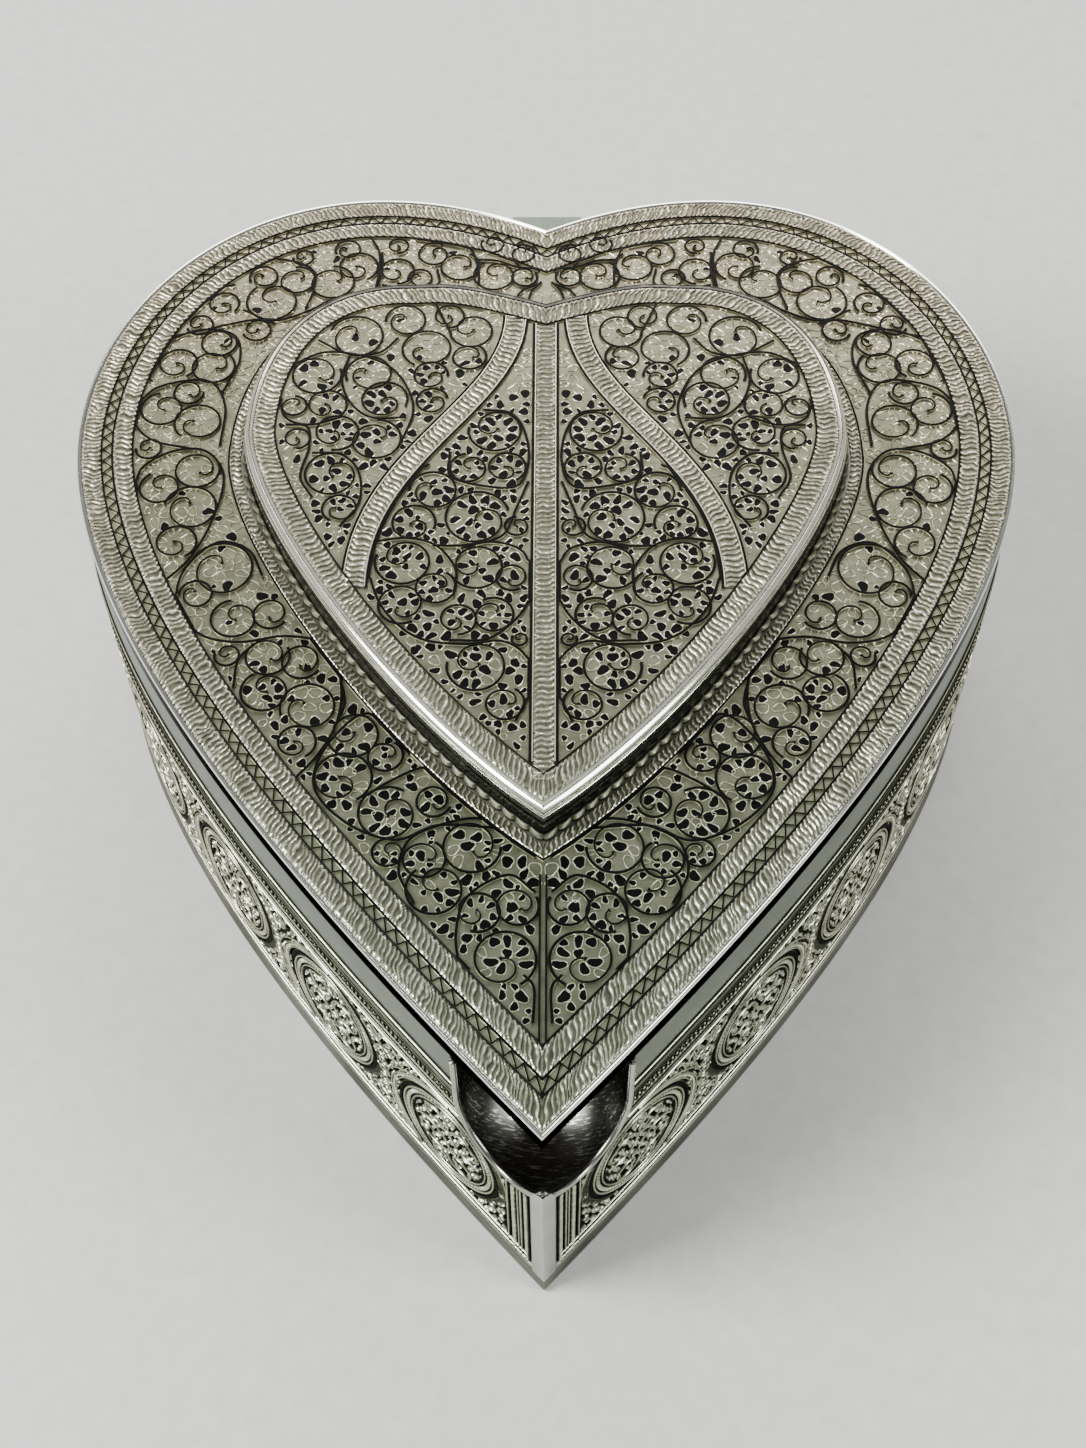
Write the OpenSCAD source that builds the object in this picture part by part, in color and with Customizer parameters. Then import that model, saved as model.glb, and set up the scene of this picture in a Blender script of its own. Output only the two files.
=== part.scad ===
// Heart-shaped wind-up music box: silver wirework box, hinged lid, pinned-cylinder movement.
// Millimetres, +Z up. Z = 0 is the face it stands on, X = 0 is its plane of symmetry,
// and the front point of the heart is towards -Y.

/* [Heart outline] */
// Half of the width over the side walls
wide_x = 75.7; // [75.2:0.1:76.2]
// How far the widest place lies behind the outline's own origin
wide_y = 31.3; // [30:0.1:33]
// How far the top of a lobe lies to the side
lobe_x = 28.4; // [27:0.1:30]
// How far the top of a lobe lies to the back
lobe_y = 83.9; // [83:0.1:84.4]
// Depth of the cleft, measured from the origin
notch_y = 76.5; // [75.5:0.1:77]
// Angle at which the outline leaves the cleft
notch_ang = 27; // [22:1:30]
// Front point
tip_y = -89.5; // [-91:0.1:-88]
// Half angle of the front point
tip_ang = 43.8; // [42:0.1:46]

/* [Box] */
// Height from the table to the flat of the lid
box_h = 61; // [60:0.5:62]
// Height of the lid's side
lid_h = 3.5; // [3.3:0.1:3.8]
// Thickness of the wall sheet
wall_t = 1.2; // [1:0.1:1.4]
// Height of the base moulding
foot_h = 4; // [3.5:0.1:4.5]
// How far the base moulding stands out from the wall
foot_out = 1; // [0.8:0.1:1.2]
// Height of the floor's underside, which leaves room for the winding key
floor_z = 11; // [10.5:0.1:11.5]
// Thickness of the floor
floor_t = 1.5; // [1.2:0.1:1.8]
// Gap between the lid and the wall when it is shut
seam = 0.3; // [0.3:0.05:0.4]

/* [Wirework] */
// Height of the side panels of wirework
panel_h = 33.9; // [33:0.1:34.5]
// How far the side wirework stands out
panel_out = 0.6; // [0.4:0.1:0.7]
// Height of the beaded wires above the side panels
bead_h = 9.8; // [9:0.1:10]
// Width of the polished edge of the lid
edge_w = 0.8; // [0.7:0.1:1]
// Width of each twisted band on the lid
twist_w = 3.3; // [3:0.1:3.5]
// Width of the zigzag band
zigzag_w = 1.7; // [1.5:0.1:1.9]
// Thickness of the wirework laid on the lid plate
wire_t = 0.6; // [0.5:0.1:0.7]

/* [Raised heart] */
// Half width of the raised heart
rise_x = 47.8; // [47:0.1:48.5]
// Height of its vertical side
rise_side = 4.8; // [4.5:0.1:5]
// Height of the bevel above the side
rise_bevel = 1.6; // [1.4:0.1:1.8]
// Width of the bevel
rise_inset = 1.8; // [1.6:0.1:2]
// Width of the centre band
centre_w = 3.3; // [3:0.1:3.5]

/* [Thumb scoop] */
// Largest radius of the scoop
scoop_r = 12.1; // [12.1:0.1:12.6]
// Depth of the scoop below the lid
scoop_h = 27.4; // [27:0.1:28]
// Height of its rounded lower part
scoop_round = 13.4; // [13:0.1:14]
// Distance of the scoop's axis behind the front point
scoop_back = 11.8; // [11.5:0.1:12]

/* [Hinge] */
// Height of the hinge axis
hinge_z = 51; // [50:0.5:51.5]
// Outer radius of the knuckles
knuckle_r = 1.9; // [1.8:0.05:2]
// Radius of the hinge pin
pin_r = 0.9; // [0.8:0.05:1]

/* [Movement] */
// Sideways place of the barrel's axis
barrel_x = 16; // [15.5:0.1:16.5]
// Front to back place of the barrel's axis, from the outline's origin
barrel_y = 31; // [30.5:0.1:31.5]
// Number of tuned teeth in the comb
notes = 18; // [17:1:18]
// Radius of the pinned cylinder
cyl_r = 6.5; // [6.3:0.1:6.5]
// Length of the pinned cylinder
cyl_len = 18; // [18:0.1:18.2]
// Travel of the stop rod
stop_travel = 1.5; // [1:0.1:1.5]

/* [Hidden] */

silver = "#b9b8ab";
dark_silver = "#8b8c80";
eps = 0.01;

// Outlines. A heart is [cleft y, cleft angle, cleft handle, lobe x, lobe y, lobe handles in and
// out, widest x, widest y, its handles up and down, tip half angle, tip handle, tip y].
OUTER = [notch_y, notch_ang, 7, lobe_x, lobe_y, 12, 27, wide_x, wide_y, 29, 39,
    tip_ang, 42, tip_y];
RISE = [53.5, 20, 17, 23, 57.8, 6, 14, rise_x, 26, 21, 15.5, 53.5, 28, -44.4];

function bez(p, t) = pow(1 - t, 3) * p[0] + 3 * pow(1 - t, 2) * t * p[1]
    + 3 * (1 - t) * t * t * p[2] + pow(t, 3) * p[3];
function slope(p, t) = 3 * pow(1 - t, 2) * (p[1] - p[0]) + 6 * (1 - t) * t * (p[2] - p[1])
    + 3 * t * t * (p[3] - p[2]);
// A point of curve p moved out by o along its normal
function moved(p, t, o) = let (v = slope(p, t)) bez(p, t) + o * [-v.y, v.x] / norm(v);
// The three curves of the right half: cleft to lobe, lobe to widest place, widest place to tip
function curves(h) = [
    [[0, h[0]], [h[2] * cos(h[1]), h[0] + h[2] * sin(h[1])], [h[3] - h[5], h[4]], [h[3], h[4]]],
    [[h[3], h[4]], [h[3] + h[6], h[4]], [h[7], h[8] + h[9]], [h[7], h[8]]],
    [[h[7], h[8]], [h[7], h[8] - h[10]], [h[12] * sin(h[11]), h[13] + h[12] * cos(h[11])],
        [0, h[13]]]
];
STEPS = [7, 11, 12];
// Where the line through two points meets x = 0
function on_axis(a, b) = [0, a.y - a.x * (b.y - a.y) / (b.x - a.x)];
// Right half of a heart, moved out by o, with mitred ends on x = 0
function half_heart(h, o) = let (
    c = curves(h),
    all = [for (i = [0:2]) for (k = [0:STEPS[i] - (i < 2 ? 1 : 0)]) moved(c[i], k / STEPS[i], o)],
    kept = [for (p = all) if (p.x > 0.3) p],
    n = len(kept)
) concat([on_axis(kept[0], kept[1])], kept, [on_axis(kept[n - 1], kept[n - 2])]);
function flip(pts) = [for (i = [len(pts) - 1:-1:0]) [-pts[i].x, pts[i].y]];
function heart(h, o) = let (r = half_heart(h, o), l = flip(r))
    concat(r, [for (i = [1:len(l) - 2]) l[i]]);

// Shared heights and places
lid_z = box_h - lid_h;
wall_top = lid_z - seam;
plate_top = box_h - wire_t;
plate_t = 1.2;
bezel_top = lid_z + 0.8;
lid_t = 1;
hinge_y = lobe_y + 0.7;
tip_reach = tip_y - foot_out / sin(tip_ang);
mid_y = (hinge_y + knuckle_r + tip_reach) / 2;
panel_z = foot_h + 0.6;
bead_z = panel_z + panel_h + 0.4;
band1 = edge_w + twist_w;
band2 = band1 + zigzag_w;
band3 = band2 + twist_w;
rise_z = box_h + rise_side;
rise_top = rise_z + rise_bevel;
surround_w = 3.1;
scallop_w = 0.8;
scoop_wall = 0.8;
strip_x = 2.1;
strip_out = 0.8;
strip_top = wall_top - scoop_h
    + scoop_round * (1 - sqrt(1 - pow(scoop_back / scoop_r, 2))) - 0.1;

// Movement heights and gears
bed_z = floor_z + floor_t + 2;
bed_t = 2.5;
bed_top = bed_z + bed_t;
crown_mod = 0.8;
crown_n = 25;
crown_r = crown_n * crown_mod / 2;
pinion_n = 12;
pinion_r = pinion_n * crown_mod / 2;
barrel_r = 11;
barrel_z = bed_top + 0.5;
barrel_h = 9.5;
crown_z = barrel_z + barrel_h;
arbor_z = crown_z + 0.9 + pinion_r;
arbor_r = 0.8;
key_r = 2;
train_mod = 0.5;
wheel_n = 34;
small_n = 10;
wheel_r = wheel_n * train_mod / 2;
small_r = small_n * train_mod / 2;
train_ang = -20;
train_d = wheel_r + small_r;
second_y = barrel_y + train_d * cos(train_ang);
second_z = arbor_z + train_d * sin(train_ang);
worm_mod = 0.6;
worm_n = 24;
worm_starts = 3;
worm_wheel_r = worm_n * worm_mod / 2;
worm_mean = 1.5;
worm_wave = 0.5;
worm_lead = worm_starts * PI * worm_mod;
left_x = barrel_x + 11.6;
cyl_x = barrel_x + 13.2;
wheel_x = cyl_x + cyl_len + 0.8;
right_x = wheel_x + 2;
worm_x = right_x + 2.7;
worm_y = second_y + worm_wheel_r + worm_mean;
outer_x = worm_x + 5.2;
cover_z = 42.5;
cover_t = 2;
comb_tip = barrel_y - cyl_r - 0.5;
comb_back = barrel_y - 26;
comb_root = barrel_y - 18;
stop_y = worm_y - 8.5;

// Hinge: half width of the leaves and of the lid's knuckle
leaf_x = 9;
gap_x = 3.3;

module at_mid() translate([0, -mid_y, 0]) children();
module slab(pts, z0, z1) translate([0, 0, z0]) linear_extrude(z1 - z0) polygon(pts);
module heart_slab(h, o, z0, z1) slab(heart(h, o), z0, z1);
module heart_ring(h, out, in, z0, z1) difference() {
    heart_slab(h, out, z0, z1);
    heart_slab(h, in, z0 - 1, z1 + 1);
}
// One side of a ring; side is 1 on the right and -1 on the left
module half_ring(h, out, in, z0, z1, side, gap = 0) scale_side(side) difference() {
    slab(half_heart(h, out), z0, z1);
    slab(concat([[-1, half_heart(h, in)[0].y]], half_heart(h, in),
        [[-1, half_heart(h, in)[len(half_heart(h, in)) - 1].y]]), z0 - 1, z1 + 1);
    if (gap > 0) translate([-1, -200, z0 - 1]) cube([1 + gap, 400, z1 - z0 + 2]);
}
module scale_side(side) {
    if (side > 0) children();
    else mirror([1, 0, 0]) children();
}
// Bowl of the thumb scoop: straight at the top, a quarter ellipse below. Its axis stands behind
// the front point, so the opening in each wall is a wide U whose lowest place is beside the corner
module bowl(grow) translate([0, tip_y + scoop_back, wall_top - scoop_h])
    rotate_extrude($fn = 96) polygon(concat([[0, scoop_h + 8]],
        [for (i = [0:8]) let (a = i * 11.25)
            [(scoop_r + grow) * sin(a), scoop_round - (scoop_round + grow) * cos(a)]],
        [[scoop_r + grow, scoop_h + 8]]));

// Box -------------------------------------------------------------------------------------
module wall(side) color(silver) at_mid() difference() {
    half_ring(OUTER, 0, -wall_t, 2, wall_top, side);
    bowl(0);
}
module wall_left() wall(-1);
module wall_right() wall(1);
module base_rim() color(silver) at_mid()
    heart_ring(OUTER, foot_out, eps * 2, 0, foot_h);
module floor_plate() color(dark_silver) at_mid() difference() {
    heart_slab(OUTER, -wall_t, floor_z, floor_z + floor_t);
    translate([barrel_x, barrel_y, 0]) cylinder(r = key_r + 2.5, h = 30, $fn = 48);
    bed_holes() cylinder(r = 1.6, h = 30, $fn = 32);
}
module thumb_scoop() color("#3c3d39") at_mid() intersection() {
    heart_slab(OUTER, -wall_t, wall_top - scoop_h - 2, wall_top);
    difference() {
        bowl(scoop_wall);
        bowl(0);
    }
}
module corner_strip() color(silver) at_mid() difference() {
    heart_ring(OUTER, strip_out, 0, panel_z, strip_top);
    translate([-200, tip_y + 8, 0]) cube([400, 400, 100]);
    scale_side(1) translate([strip_x, -200, 0]) cube([100, 400, 100]);
    scale_side(-1) translate([strip_x, -200, 0]) cube([100, 400, 100]);
    bowl(0);
}
module side_filigree(side) color(dark_silver) at_mid() difference() {
    half_ring(OUTER, panel_out, 0, panel_z, panel_z + panel_h, side, strip_x + 0.1);
    bowl(0);
}
module side_filigree_left() side_filigree(-1);
module side_filigree_right() side_filigree(1);
module bead_wires(side) color(dark_silver) at_mid() difference() {
    half_ring(OUTER, panel_out, 0, bead_z, bead_z + bead_h, side, strip_x + 0.1);
    bowl(0);
    translate([-leaf_x - 1, notch_y - 4, bead_z - 1]) cube([2 * leaf_x + 2, 20, bead_h + 2]);
}
module bead_wires_left() bead_wires(-1);
module bead_wires_right() bead_wires(1);
// Ring inside the wall that the lid drops over
module inner_bezel(side) color(silver) at_mid() difference() {
    half_ring(OUTER, -wall_t - 0.3, -wall_t - 1.3, floor_z + floor_t, bezel_top, side);
    bowl(scoop_wall + 0.1);
}
module inner_bezel_left() inner_bezel(-1);
module inner_bezel_right() inner_bezel(1);
module lining_wall() color("#5b1224") at_mid() difference() {
    heart_ring(OUTER, -wall_t - 1.3, -wall_t - 2.5, floor_z + floor_t, bezel_top - 3);
    bowl(scoop_wall + 0.4);
}
module cover_outline(grow) {
    x0 = barrel_x - 14 - grow;
    x1 = outer_x + 3 + grow;
    y0 = barrel_y - 29 - grow;
    y1 = worm_y + 7.5 + grow;
    r = 6 + grow;
    translate([x0, y0 + r]) square([x1 - x0, y1 - y0 - 2 * r]);
    translate([x0 + r, y0]) square([x1 - x0 - 2 * r, y1 - y0]);
    for (x = [x0 + r, x1 - r], y = [y0 + r, y1 - r]) translate([x, y]) circle(r = r, $fn = 64);
}
module lining_floor() color("#5b1224") at_mid() difference() {
    heart_slab(OUTER, -wall_t - 2.6, floor_z + floor_t, floor_z + floor_t + 2);
    translate([0, 0, floor_z]) linear_extrude(10) cover_outline(0.3);
    bowl(scoop_wall + 0.6);
}

// Hinge -----------------------------------------------------------------------------------
module knuckle(x0, x1) translate([x0, hinge_y, hinge_z]) rotate([0, 90, 0])
    cylinder(r = knuckle_r, h = x1 - x0, $fn = 48);
module pin_hole(grow) translate([-20, hinge_y, hinge_z]) rotate([0, 90, 0])
    cylinder(r = pin_r + grow, h = 40, $fn = 48);
module hinge_leaf_box() color(silver) at_mid() difference() {
    union() {
        difference() {
            translate([-leaf_x, notch_y - 1, hinge_z - 9]) cube([2 * leaf_x, 7.4, 7]);
            heart_slab(OUTER, 0, 0, 100);
        }
        for (s = [0, 1]) mirror([s, 0, 0]) {
            knuckle(gap_x, leaf_x);
            translate([gap_x, notch_y + 4, hinge_z - 4]) cube([leaf_x - gap_x, 4.1, 4]);
        }
    }
    pin_hole(0);
}
module hinge_pin() color(dark_silver) at_mid() translate([-leaf_x - 0.6, hinge_y, hinge_z])
    rotate([0, 90, 0]) cylinder(r = pin_r, h = 2 * leaf_x + 1.2, $fn = 48);
module hinge_leaf_lid() color(silver) at_mid() difference() {
    union() {
        difference() {
            translate([-6, notch_y - 1, lid_z + 0.1]) cube([12, 5, 2.2]);
            heart_slab(OUTER, 0, 0, 100);
        }
        translate([-gap_x + 0.3, 0, 0]) rotate([90, 0, 90]) linear_extrude(2 * gap_x - 0.6)
            polygon([[notch_y + 2, lid_z + 0.1], [notch_y + 2, lid_z + 2.3],
                [notch_y + 4, lid_z + 2.3], [hinge_y + 1.6, hinge_z + 1],
                [hinge_y, hinge_z], [hinge_y - 1.6, hinge_z + 1]]);
        knuckle(-gap_x + 0.3, gap_x - 0.3);
    }
    pin_hole(0.05);
}

// Lid -------------------------------------------------------------------------------------
module lid_side(side) color(silver) at_mid() union() {
    half_ring(OUTER, 0, -lid_t, lid_z, box_h - 0.4, side);
    half_ring(OUTER, -0.4, -lid_t, box_h - 0.4 - eps, box_h, side);
}
module lid_side_left() lid_side(-1);
module lid_side_right() lid_side(1);
module lid_plate() color(dark_silver) at_mid()
    heart_slab(OUTER, -lid_t, plate_top - plate_t, plate_top);
module lid_filigree() color(dark_silver) at_mid() difference() {
    heart_slab(OUTER, -band3, plate_top, box_h - 0.1);
    heart_slab(RISE, surround_w, plate_top - 1, box_h + 1);
}
module outer_twist_band() color(silver) at_mid()
    heart_ring(OUTER, -lid_t, -band1, plate_top, box_h);
module zigzag_band() color(dark_silver) at_mid()
    heart_ring(OUTER, -band1, -band2, plate_top, box_h - 0.1);
module inner_twist_band() color(silver) at_mid()
    heart_ring(OUTER, -band2, -band3, plate_top, box_h);
module raised_surround() color(silver) at_mid()
    heart_ring(RISE, surround_w, scallop_w, plate_top, box_h);
// Row of small half-round lobes round the foot of the raised heart
module scallop_strip() color(dark_silver) at_mid()
    heart_ring(RISE, scallop_w, 0, plate_top, box_h + 0.8);
module raised_side() color(silver) at_mid() union() {
    heart_ring(RISE, 0, -1, plate_top, rise_z);
    for (i = [0:3]) {
        inset = rise_inset * (1 - cos(i * 30));
        heart_ring(RISE, -inset, -rise_inset - 0.6, rise_z + i * rise_bevel / 4 - eps,
            rise_z + (i + 1) * rise_bevel / 4);
    }
}
module raised_filigree() color(dark_silver) at_mid()
    heart_slab(RISE, -rise_inset - 0.6, rise_z + 0.2, rise_top - 0.3);
module raised_border() color(silver) at_mid()
    heart_ring(RISE, -rise_inset - 0.6, -rise_inset - 3.4, rise_top - 0.3, rise_top);
RISE_FIELD = heart(RISE, -rise_inset - 3.4);
module centre_band() color(silver) at_mid() intersection() {
    translate([-centre_w / 2, -60, rise_top - 0.3]) cube([centre_w, 140, 0.3]);
    slab(RISE_FIELD, rise_top - 1, rise_top + 1);
}
// Curve of a leaf band: from beside the cleft, out and down to the border
LEAF = [[5, 52], [3.5, 30], [30, 21.5], [28.5, -7]];
module leaf_band(side) color(silver) at_mid() scale_side(side) intersection() {
    slab(concat([for (k = [0:12]) moved(LEAF, k / 12, centre_w / 2)],
        [for (k = [12:-1:0]) moved(LEAF, k / 12, -centre_w / 2)]), rise_top - 0.3, rise_top);
    slab(RISE_FIELD, rise_top - 1, rise_top + 1);
}
module leaf_band_left() leaf_band(-1);
module leaf_band_right() leaf_band(1);
module lid_lining() color("#5b1224") at_mid()
    heart_slab(OUTER, -4, plate_top - plate_t - 1.2, plate_top - plate_t);
module lid_mirror() color("#d8dee2") at_mid()
    heart_slab(OUTER, -16, plate_top - plate_t - 1.8, plate_top - plate_t - 1.2);

// Movement: fixed pieces --------------------------------------------------------------------
bed_x0 = barrel_x - 12.5;
bed_x1 = outer_x + 1.5;
bed_y0 = barrel_y - 27.5;
bed_y1 = worm_y + 4;
module bed_holes() for (p = [[bed_x0 + 4, bed_y1 - 4], [bed_x0 + 4, bed_y0 + 4],
    [bed_x1 - 4, bed_y0 + 4]]) translate([p.x, p.y, 0]) children();
module bedplate() color("#8d8f90") at_mid() difference() {
    union() {
        translate([0, 0, bed_z]) linear_extrude(bed_t) cover_outline(-1.5);
        bed_holes() translate([0, 0, bed_z - 2]) cylinder(r = 3, h = 3, $fn = 32);
        translate([cyl_x - 1, comb_back, bed_top - 1])
            cube([cyl_len + 2, comb_root - comb_back, arbor_z - bed_top + 0.6]);
    }
    translate([barrel_x, barrel_y, 0]) cylinder(r = key_r + 0.05, h = 40, $fn = 48);
    bed_holes() cylinder(r = 1.3, h = 40, $fn = 32);
    comb_holes() cylinder(r = 0.9, h = 60, $fn = 32);
}
module bed_screws() color("#c9b26a") at_mid() bed_holes() {
    translate([0, 0, floor_z - 1.6]) cylinder(r = 2.6, h = 1.6, $fn = 32);
    translate([0, 0, floor_z - eps]) cylinder(r = 1.3, h = bed_z + bed_t - floor_z, $fn = 32);
}
module comb_holes() for (x = [cyl_x + 3, cyl_x + cyl_len - 3])
    translate([x, (comb_back + comb_root) / 2, 0]) children();
comb_z = arbor_z - 0.4;
note_w = cyl_len / notes;
module comb() color("#a9adb0") at_mid() difference() {
    translate([cyl_x - 0.4, comb_back + 1, comb_z])
        cube([cyl_len + 0.8, comb_tip - comb_back - 1, 0.8]);
    for (i = [0:notes]) translate([cyl_x + i * note_w - 0.12, comb_root + i * 0.12, comb_z - 1])
        cube([0.24, 30, 3]);
    comb_holes() translate([0, 0, comb_z - 1]) cylinder(r = 1, h = 3, $fn = 32);
}
module comb_screws() color("#c9b26a") at_mid() comb_holes() {
    translate([0, 0, comb_z + 0.8]) cylinder(r = 1.9, h = 1.2, $fn = 32);
    translate([0, 0, comb_z - 6]) cylinder(r = 0.9, h = 6.8 + eps, $fn = 32);
}
// Upright plate, 1 mm thick, with a running bore for each arbor that it carries
module upright(x, y0, y1, z1, bores) difference() {
    translate([x, y0, bed_top - eps]) cube([1, y1 - y0, z1 - bed_top]);
    for (b = bores) translate([x - 1, b.x, b.y]) rotate([0, 90, 0])
        cylinder(r = arbor_r + 0.05, h = 3, $fn = 48);
}
module left_bearing() color("#c9b26a") at_mid()
    upright(left_x, barrel_y - 4, barrel_y + 4, arbor_z + 3, [[barrel_y, arbor_z]]);
module right_bearing() color("#c9b26a") at_mid()
    upright(right_x, barrel_y - 5, second_y + 4, arbor_z + 3,
        [[barrel_y, arbor_z], [second_y, second_z]]);
worm_low = second_z - 6.2;
worm_high = second_z + 5.4;
module governor_bracket() color("#c9b26a") at_mid() difference() {
    union() {
        upright(outer_x, second_y - 4, worm_y + 3, worm_high + 1, [[second_y, second_z]]);
        translate([worm_x - 2.5, worm_y - 2.5, worm_low - 1])
            cube([outer_x - worm_x + 2.6, 5, 1]);
        translate([worm_x - 2.5, worm_y - 2.5, worm_high]) cube([outer_x - worm_x + 2.6, 5, 1]);
    }
    translate([worm_x, worm_y, worm_low - 3]) cylinder(r = 0.65, h = 30, $fn = 48);
}
// Clear cover over the movement, open below
module movement_cover() color("#dfe6ea", 0.4) at_mid() difference() {
    translate([0, 0, floor_z + floor_t]) linear_extrude(cover_z + cover_t - floor_z - floor_t)
        cover_outline(0);
    translate([0, 0, floor_z]) linear_extrude(cover_z - floor_z) cover_outline(-1.2);
    translate([worm_x, stop_y, cover_z - 1]) cylinder(r = 2, h = 5, $fn = 48);
}
module rod_guide() color("#c9b26a") at_mid() translate([worm_x, stop_y, cover_z])
    difference() {
        union() {
            cylinder(r = 2, h = cover_t, $fn = 48);
            translate([0, 0, cover_t]) cylinder(r = 2.8, h = 1.5, $fn = 48);
        }
        translate([0, 0, -1]) cylinder(r = 1.05, h = 8, $fn = 48);
    }

// Movement: turning pieces ------------------------------------------------------------------
// Gear outline: tooth flanks are straight from root to tip; w gives the tooth's half width
// at root and tip as shares of the pitch
function gear_points(n, r, root, tip, w_root, w_tip, turn) = [for (i = [0:n - 1])
    for (q = [[-w_root, root], [-w_tip, tip], [w_tip, tip], [w_root, root]])
        let (a = turn + (i + q[0]) * 360 / n) (r + q[1]) * [cos(a), sin(a)]];
// Draws a flat shape in the Y-Z plane at x, y, z and carries it along +X by t
module along_x(x, y, z, t) translate([x, y, z]) rotate([90, 0, 90]) linear_extrude(t) children();
module arbor(x0, x1, y, z, r = arbor_r) translate([x0, y, z]) rotate([0, 90, 0])
    cylinder(r = r, h = x1 - x0, $fn = 48);

module winding_arbor() color("#a9adb0") at_mid() translate([barrel_x, barrel_y, 6])
    cylinder(r = key_r, h = barrel_z + barrel_h - 1.5 - 6, $fn = 48);
module winding_key() color("#c9b26a") at_mid() translate([barrel_x, barrel_y, 0]) difference() {
    union() {
        translate([0, 0, 3]) cylinder(r = 3.6, h = 7, $fn = 48);
        for (s = [-1, 1]) translate([s * 8, 0, 5.6]) rotate([90, 0, 0])
            cylinder(r = 3.8, h = 2, center = true, $fn = 48);
        translate([-8, -1, 3]) cube([16, 2, 5.2]);
    }
    translate([0, 0, 6]) cylinder(r = key_r, h = 6, $fn = 48);
    for (s = [-1, 1]) translate([s * 8.4, 0, 5.6]) rotate([90, 0, 0])
        cylinder(r = 1.9, h = 4, center = true, $fn = 48);
}
// Drum with a crown of teeth on its top; the teeth are those of a rack bent into a ring
module spring_barrel() color("#c9b26a") at_mid() translate([barrel_x, barrel_y, 0]) union() {
    difference() {
        translate([0, 0, barrel_z]) cylinder(r = barrel_r, h = barrel_h, $fn = 96);
        translate([0, 0, barrel_z + 0.8]) cylinder(r = barrel_r - 0.8, h = barrel_h - 1.6, $fn = 96);
        translate([0, 0, barrel_z - 1]) cylinder(r = key_r + 0.05, h = barrel_h + 2, $fn = 48);
    }
    pitch = PI * crown_mod;
    for (i = [0:crown_n - 1]) rotate(i * 360 / crown_n)
        translate([crown_r - 1, 0, crown_z - 0.1]) rotate([90, 0, 90]) linear_extrude(1.9)
            polygon([[-0.3 * pitch, 0], [-0.1 * pitch, 1.7], [0.1 * pitch, 1.7],
                [0.3 * pitch, 0]]);
}
spring_turns = 6;
spring_t = 0.5;
function spiral(r0, r1, n, s) = [for (i = [0:n]) (r0 + s + (r1 - r0) * i / n)
    * [cos(i * 360 * spring_turns / n), sin(i * 360 * spring_turns / n)]];
module mainspring() color("#5f6a78") at_mid() {
    outer = spiral(3, barrel_r - 1.6, 84, spring_t);
    inner = spiral(3, barrel_r - 1.6, 84, 0);
    translate([barrel_x, barrel_y, 0]) slab(concat(inner, [for (i = [84:-1:0]) outer[i]]),
        barrel_z + 1.2, barrel_z + barrel_h - 1.2);
}
module pinned_cylinder() color("#c9b26a") at_mid() difference() {
    union() {
        arbor(cyl_x, cyl_x + cyl_len, barrel_y, arbor_z, cyl_r);
        for (i = [0:notes - 1], k = [0:2]) translate([cyl_x + (i + 0.5) * note_w, barrel_y, arbor_z])
            rotate([i * 137.5 + k * 113 + 25, 0, 0]) translate([0, 0, cyl_r - 0.5])
                cylinder(r = 0.25, h = 0.8, $fn = 16);
    }
    arbor(cyl_x - 1, cyl_x + cyl_len + 1, barrel_y, arbor_z);
}
module cylinder_arbor() color("#a9adb0") at_mid()
    arbor(barrel_x + 8.6, right_x + 1.6, barrel_y, arbor_z);
module cylinder_pinion() color("#c9b26a") at_mid() difference() {
    along_x(barrel_x + crown_r - 0.7, barrel_y, arbor_z, 1.4)
        polygon(gear_points(pinion_n, pinion_r, -0.9, 0.6, 0.3, 0.1, -90 + 180 / pinion_n));
    arbor(barrel_x, barrel_x + 20, barrel_y, arbor_z);
}
module cylinder_wheel() color("#c9b26a") at_mid() difference() {
    along_x(wheel_x, barrel_y, arbor_z, 1.2)
        polygon(gear_points(wheel_n, wheel_r, -0.6, 0.4, 0.3, 0.1, train_ang));
    arbor(wheel_x - 1, wheel_x + 3, barrel_y, arbor_z);
}
module second_arbor() color("#a9adb0") at_mid() union() {
    arbor(wheel_x - 1.2, outer_x + 0.9, second_y, second_z);
    along_x(wheel_x - 0.3, second_y, second_z, 1.8)
        polygon(gear_points(small_n, small_r, -0.6, 0.4, 0.28, 0.1,
            train_ang + 180 + 180 / small_n));
}
module worm_wheel() color("#c9b26a") at_mid() difference() {
    along_x(worm_x - 0.3, second_y, second_z, 0.6)
        polygon(gear_points(worm_n, worm_wheel_r, -0.6, 0.25, 0.24, 0.05, 0));
    arbor(worm_x - 2, worm_x + 2, second_y, second_z);
}
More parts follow.
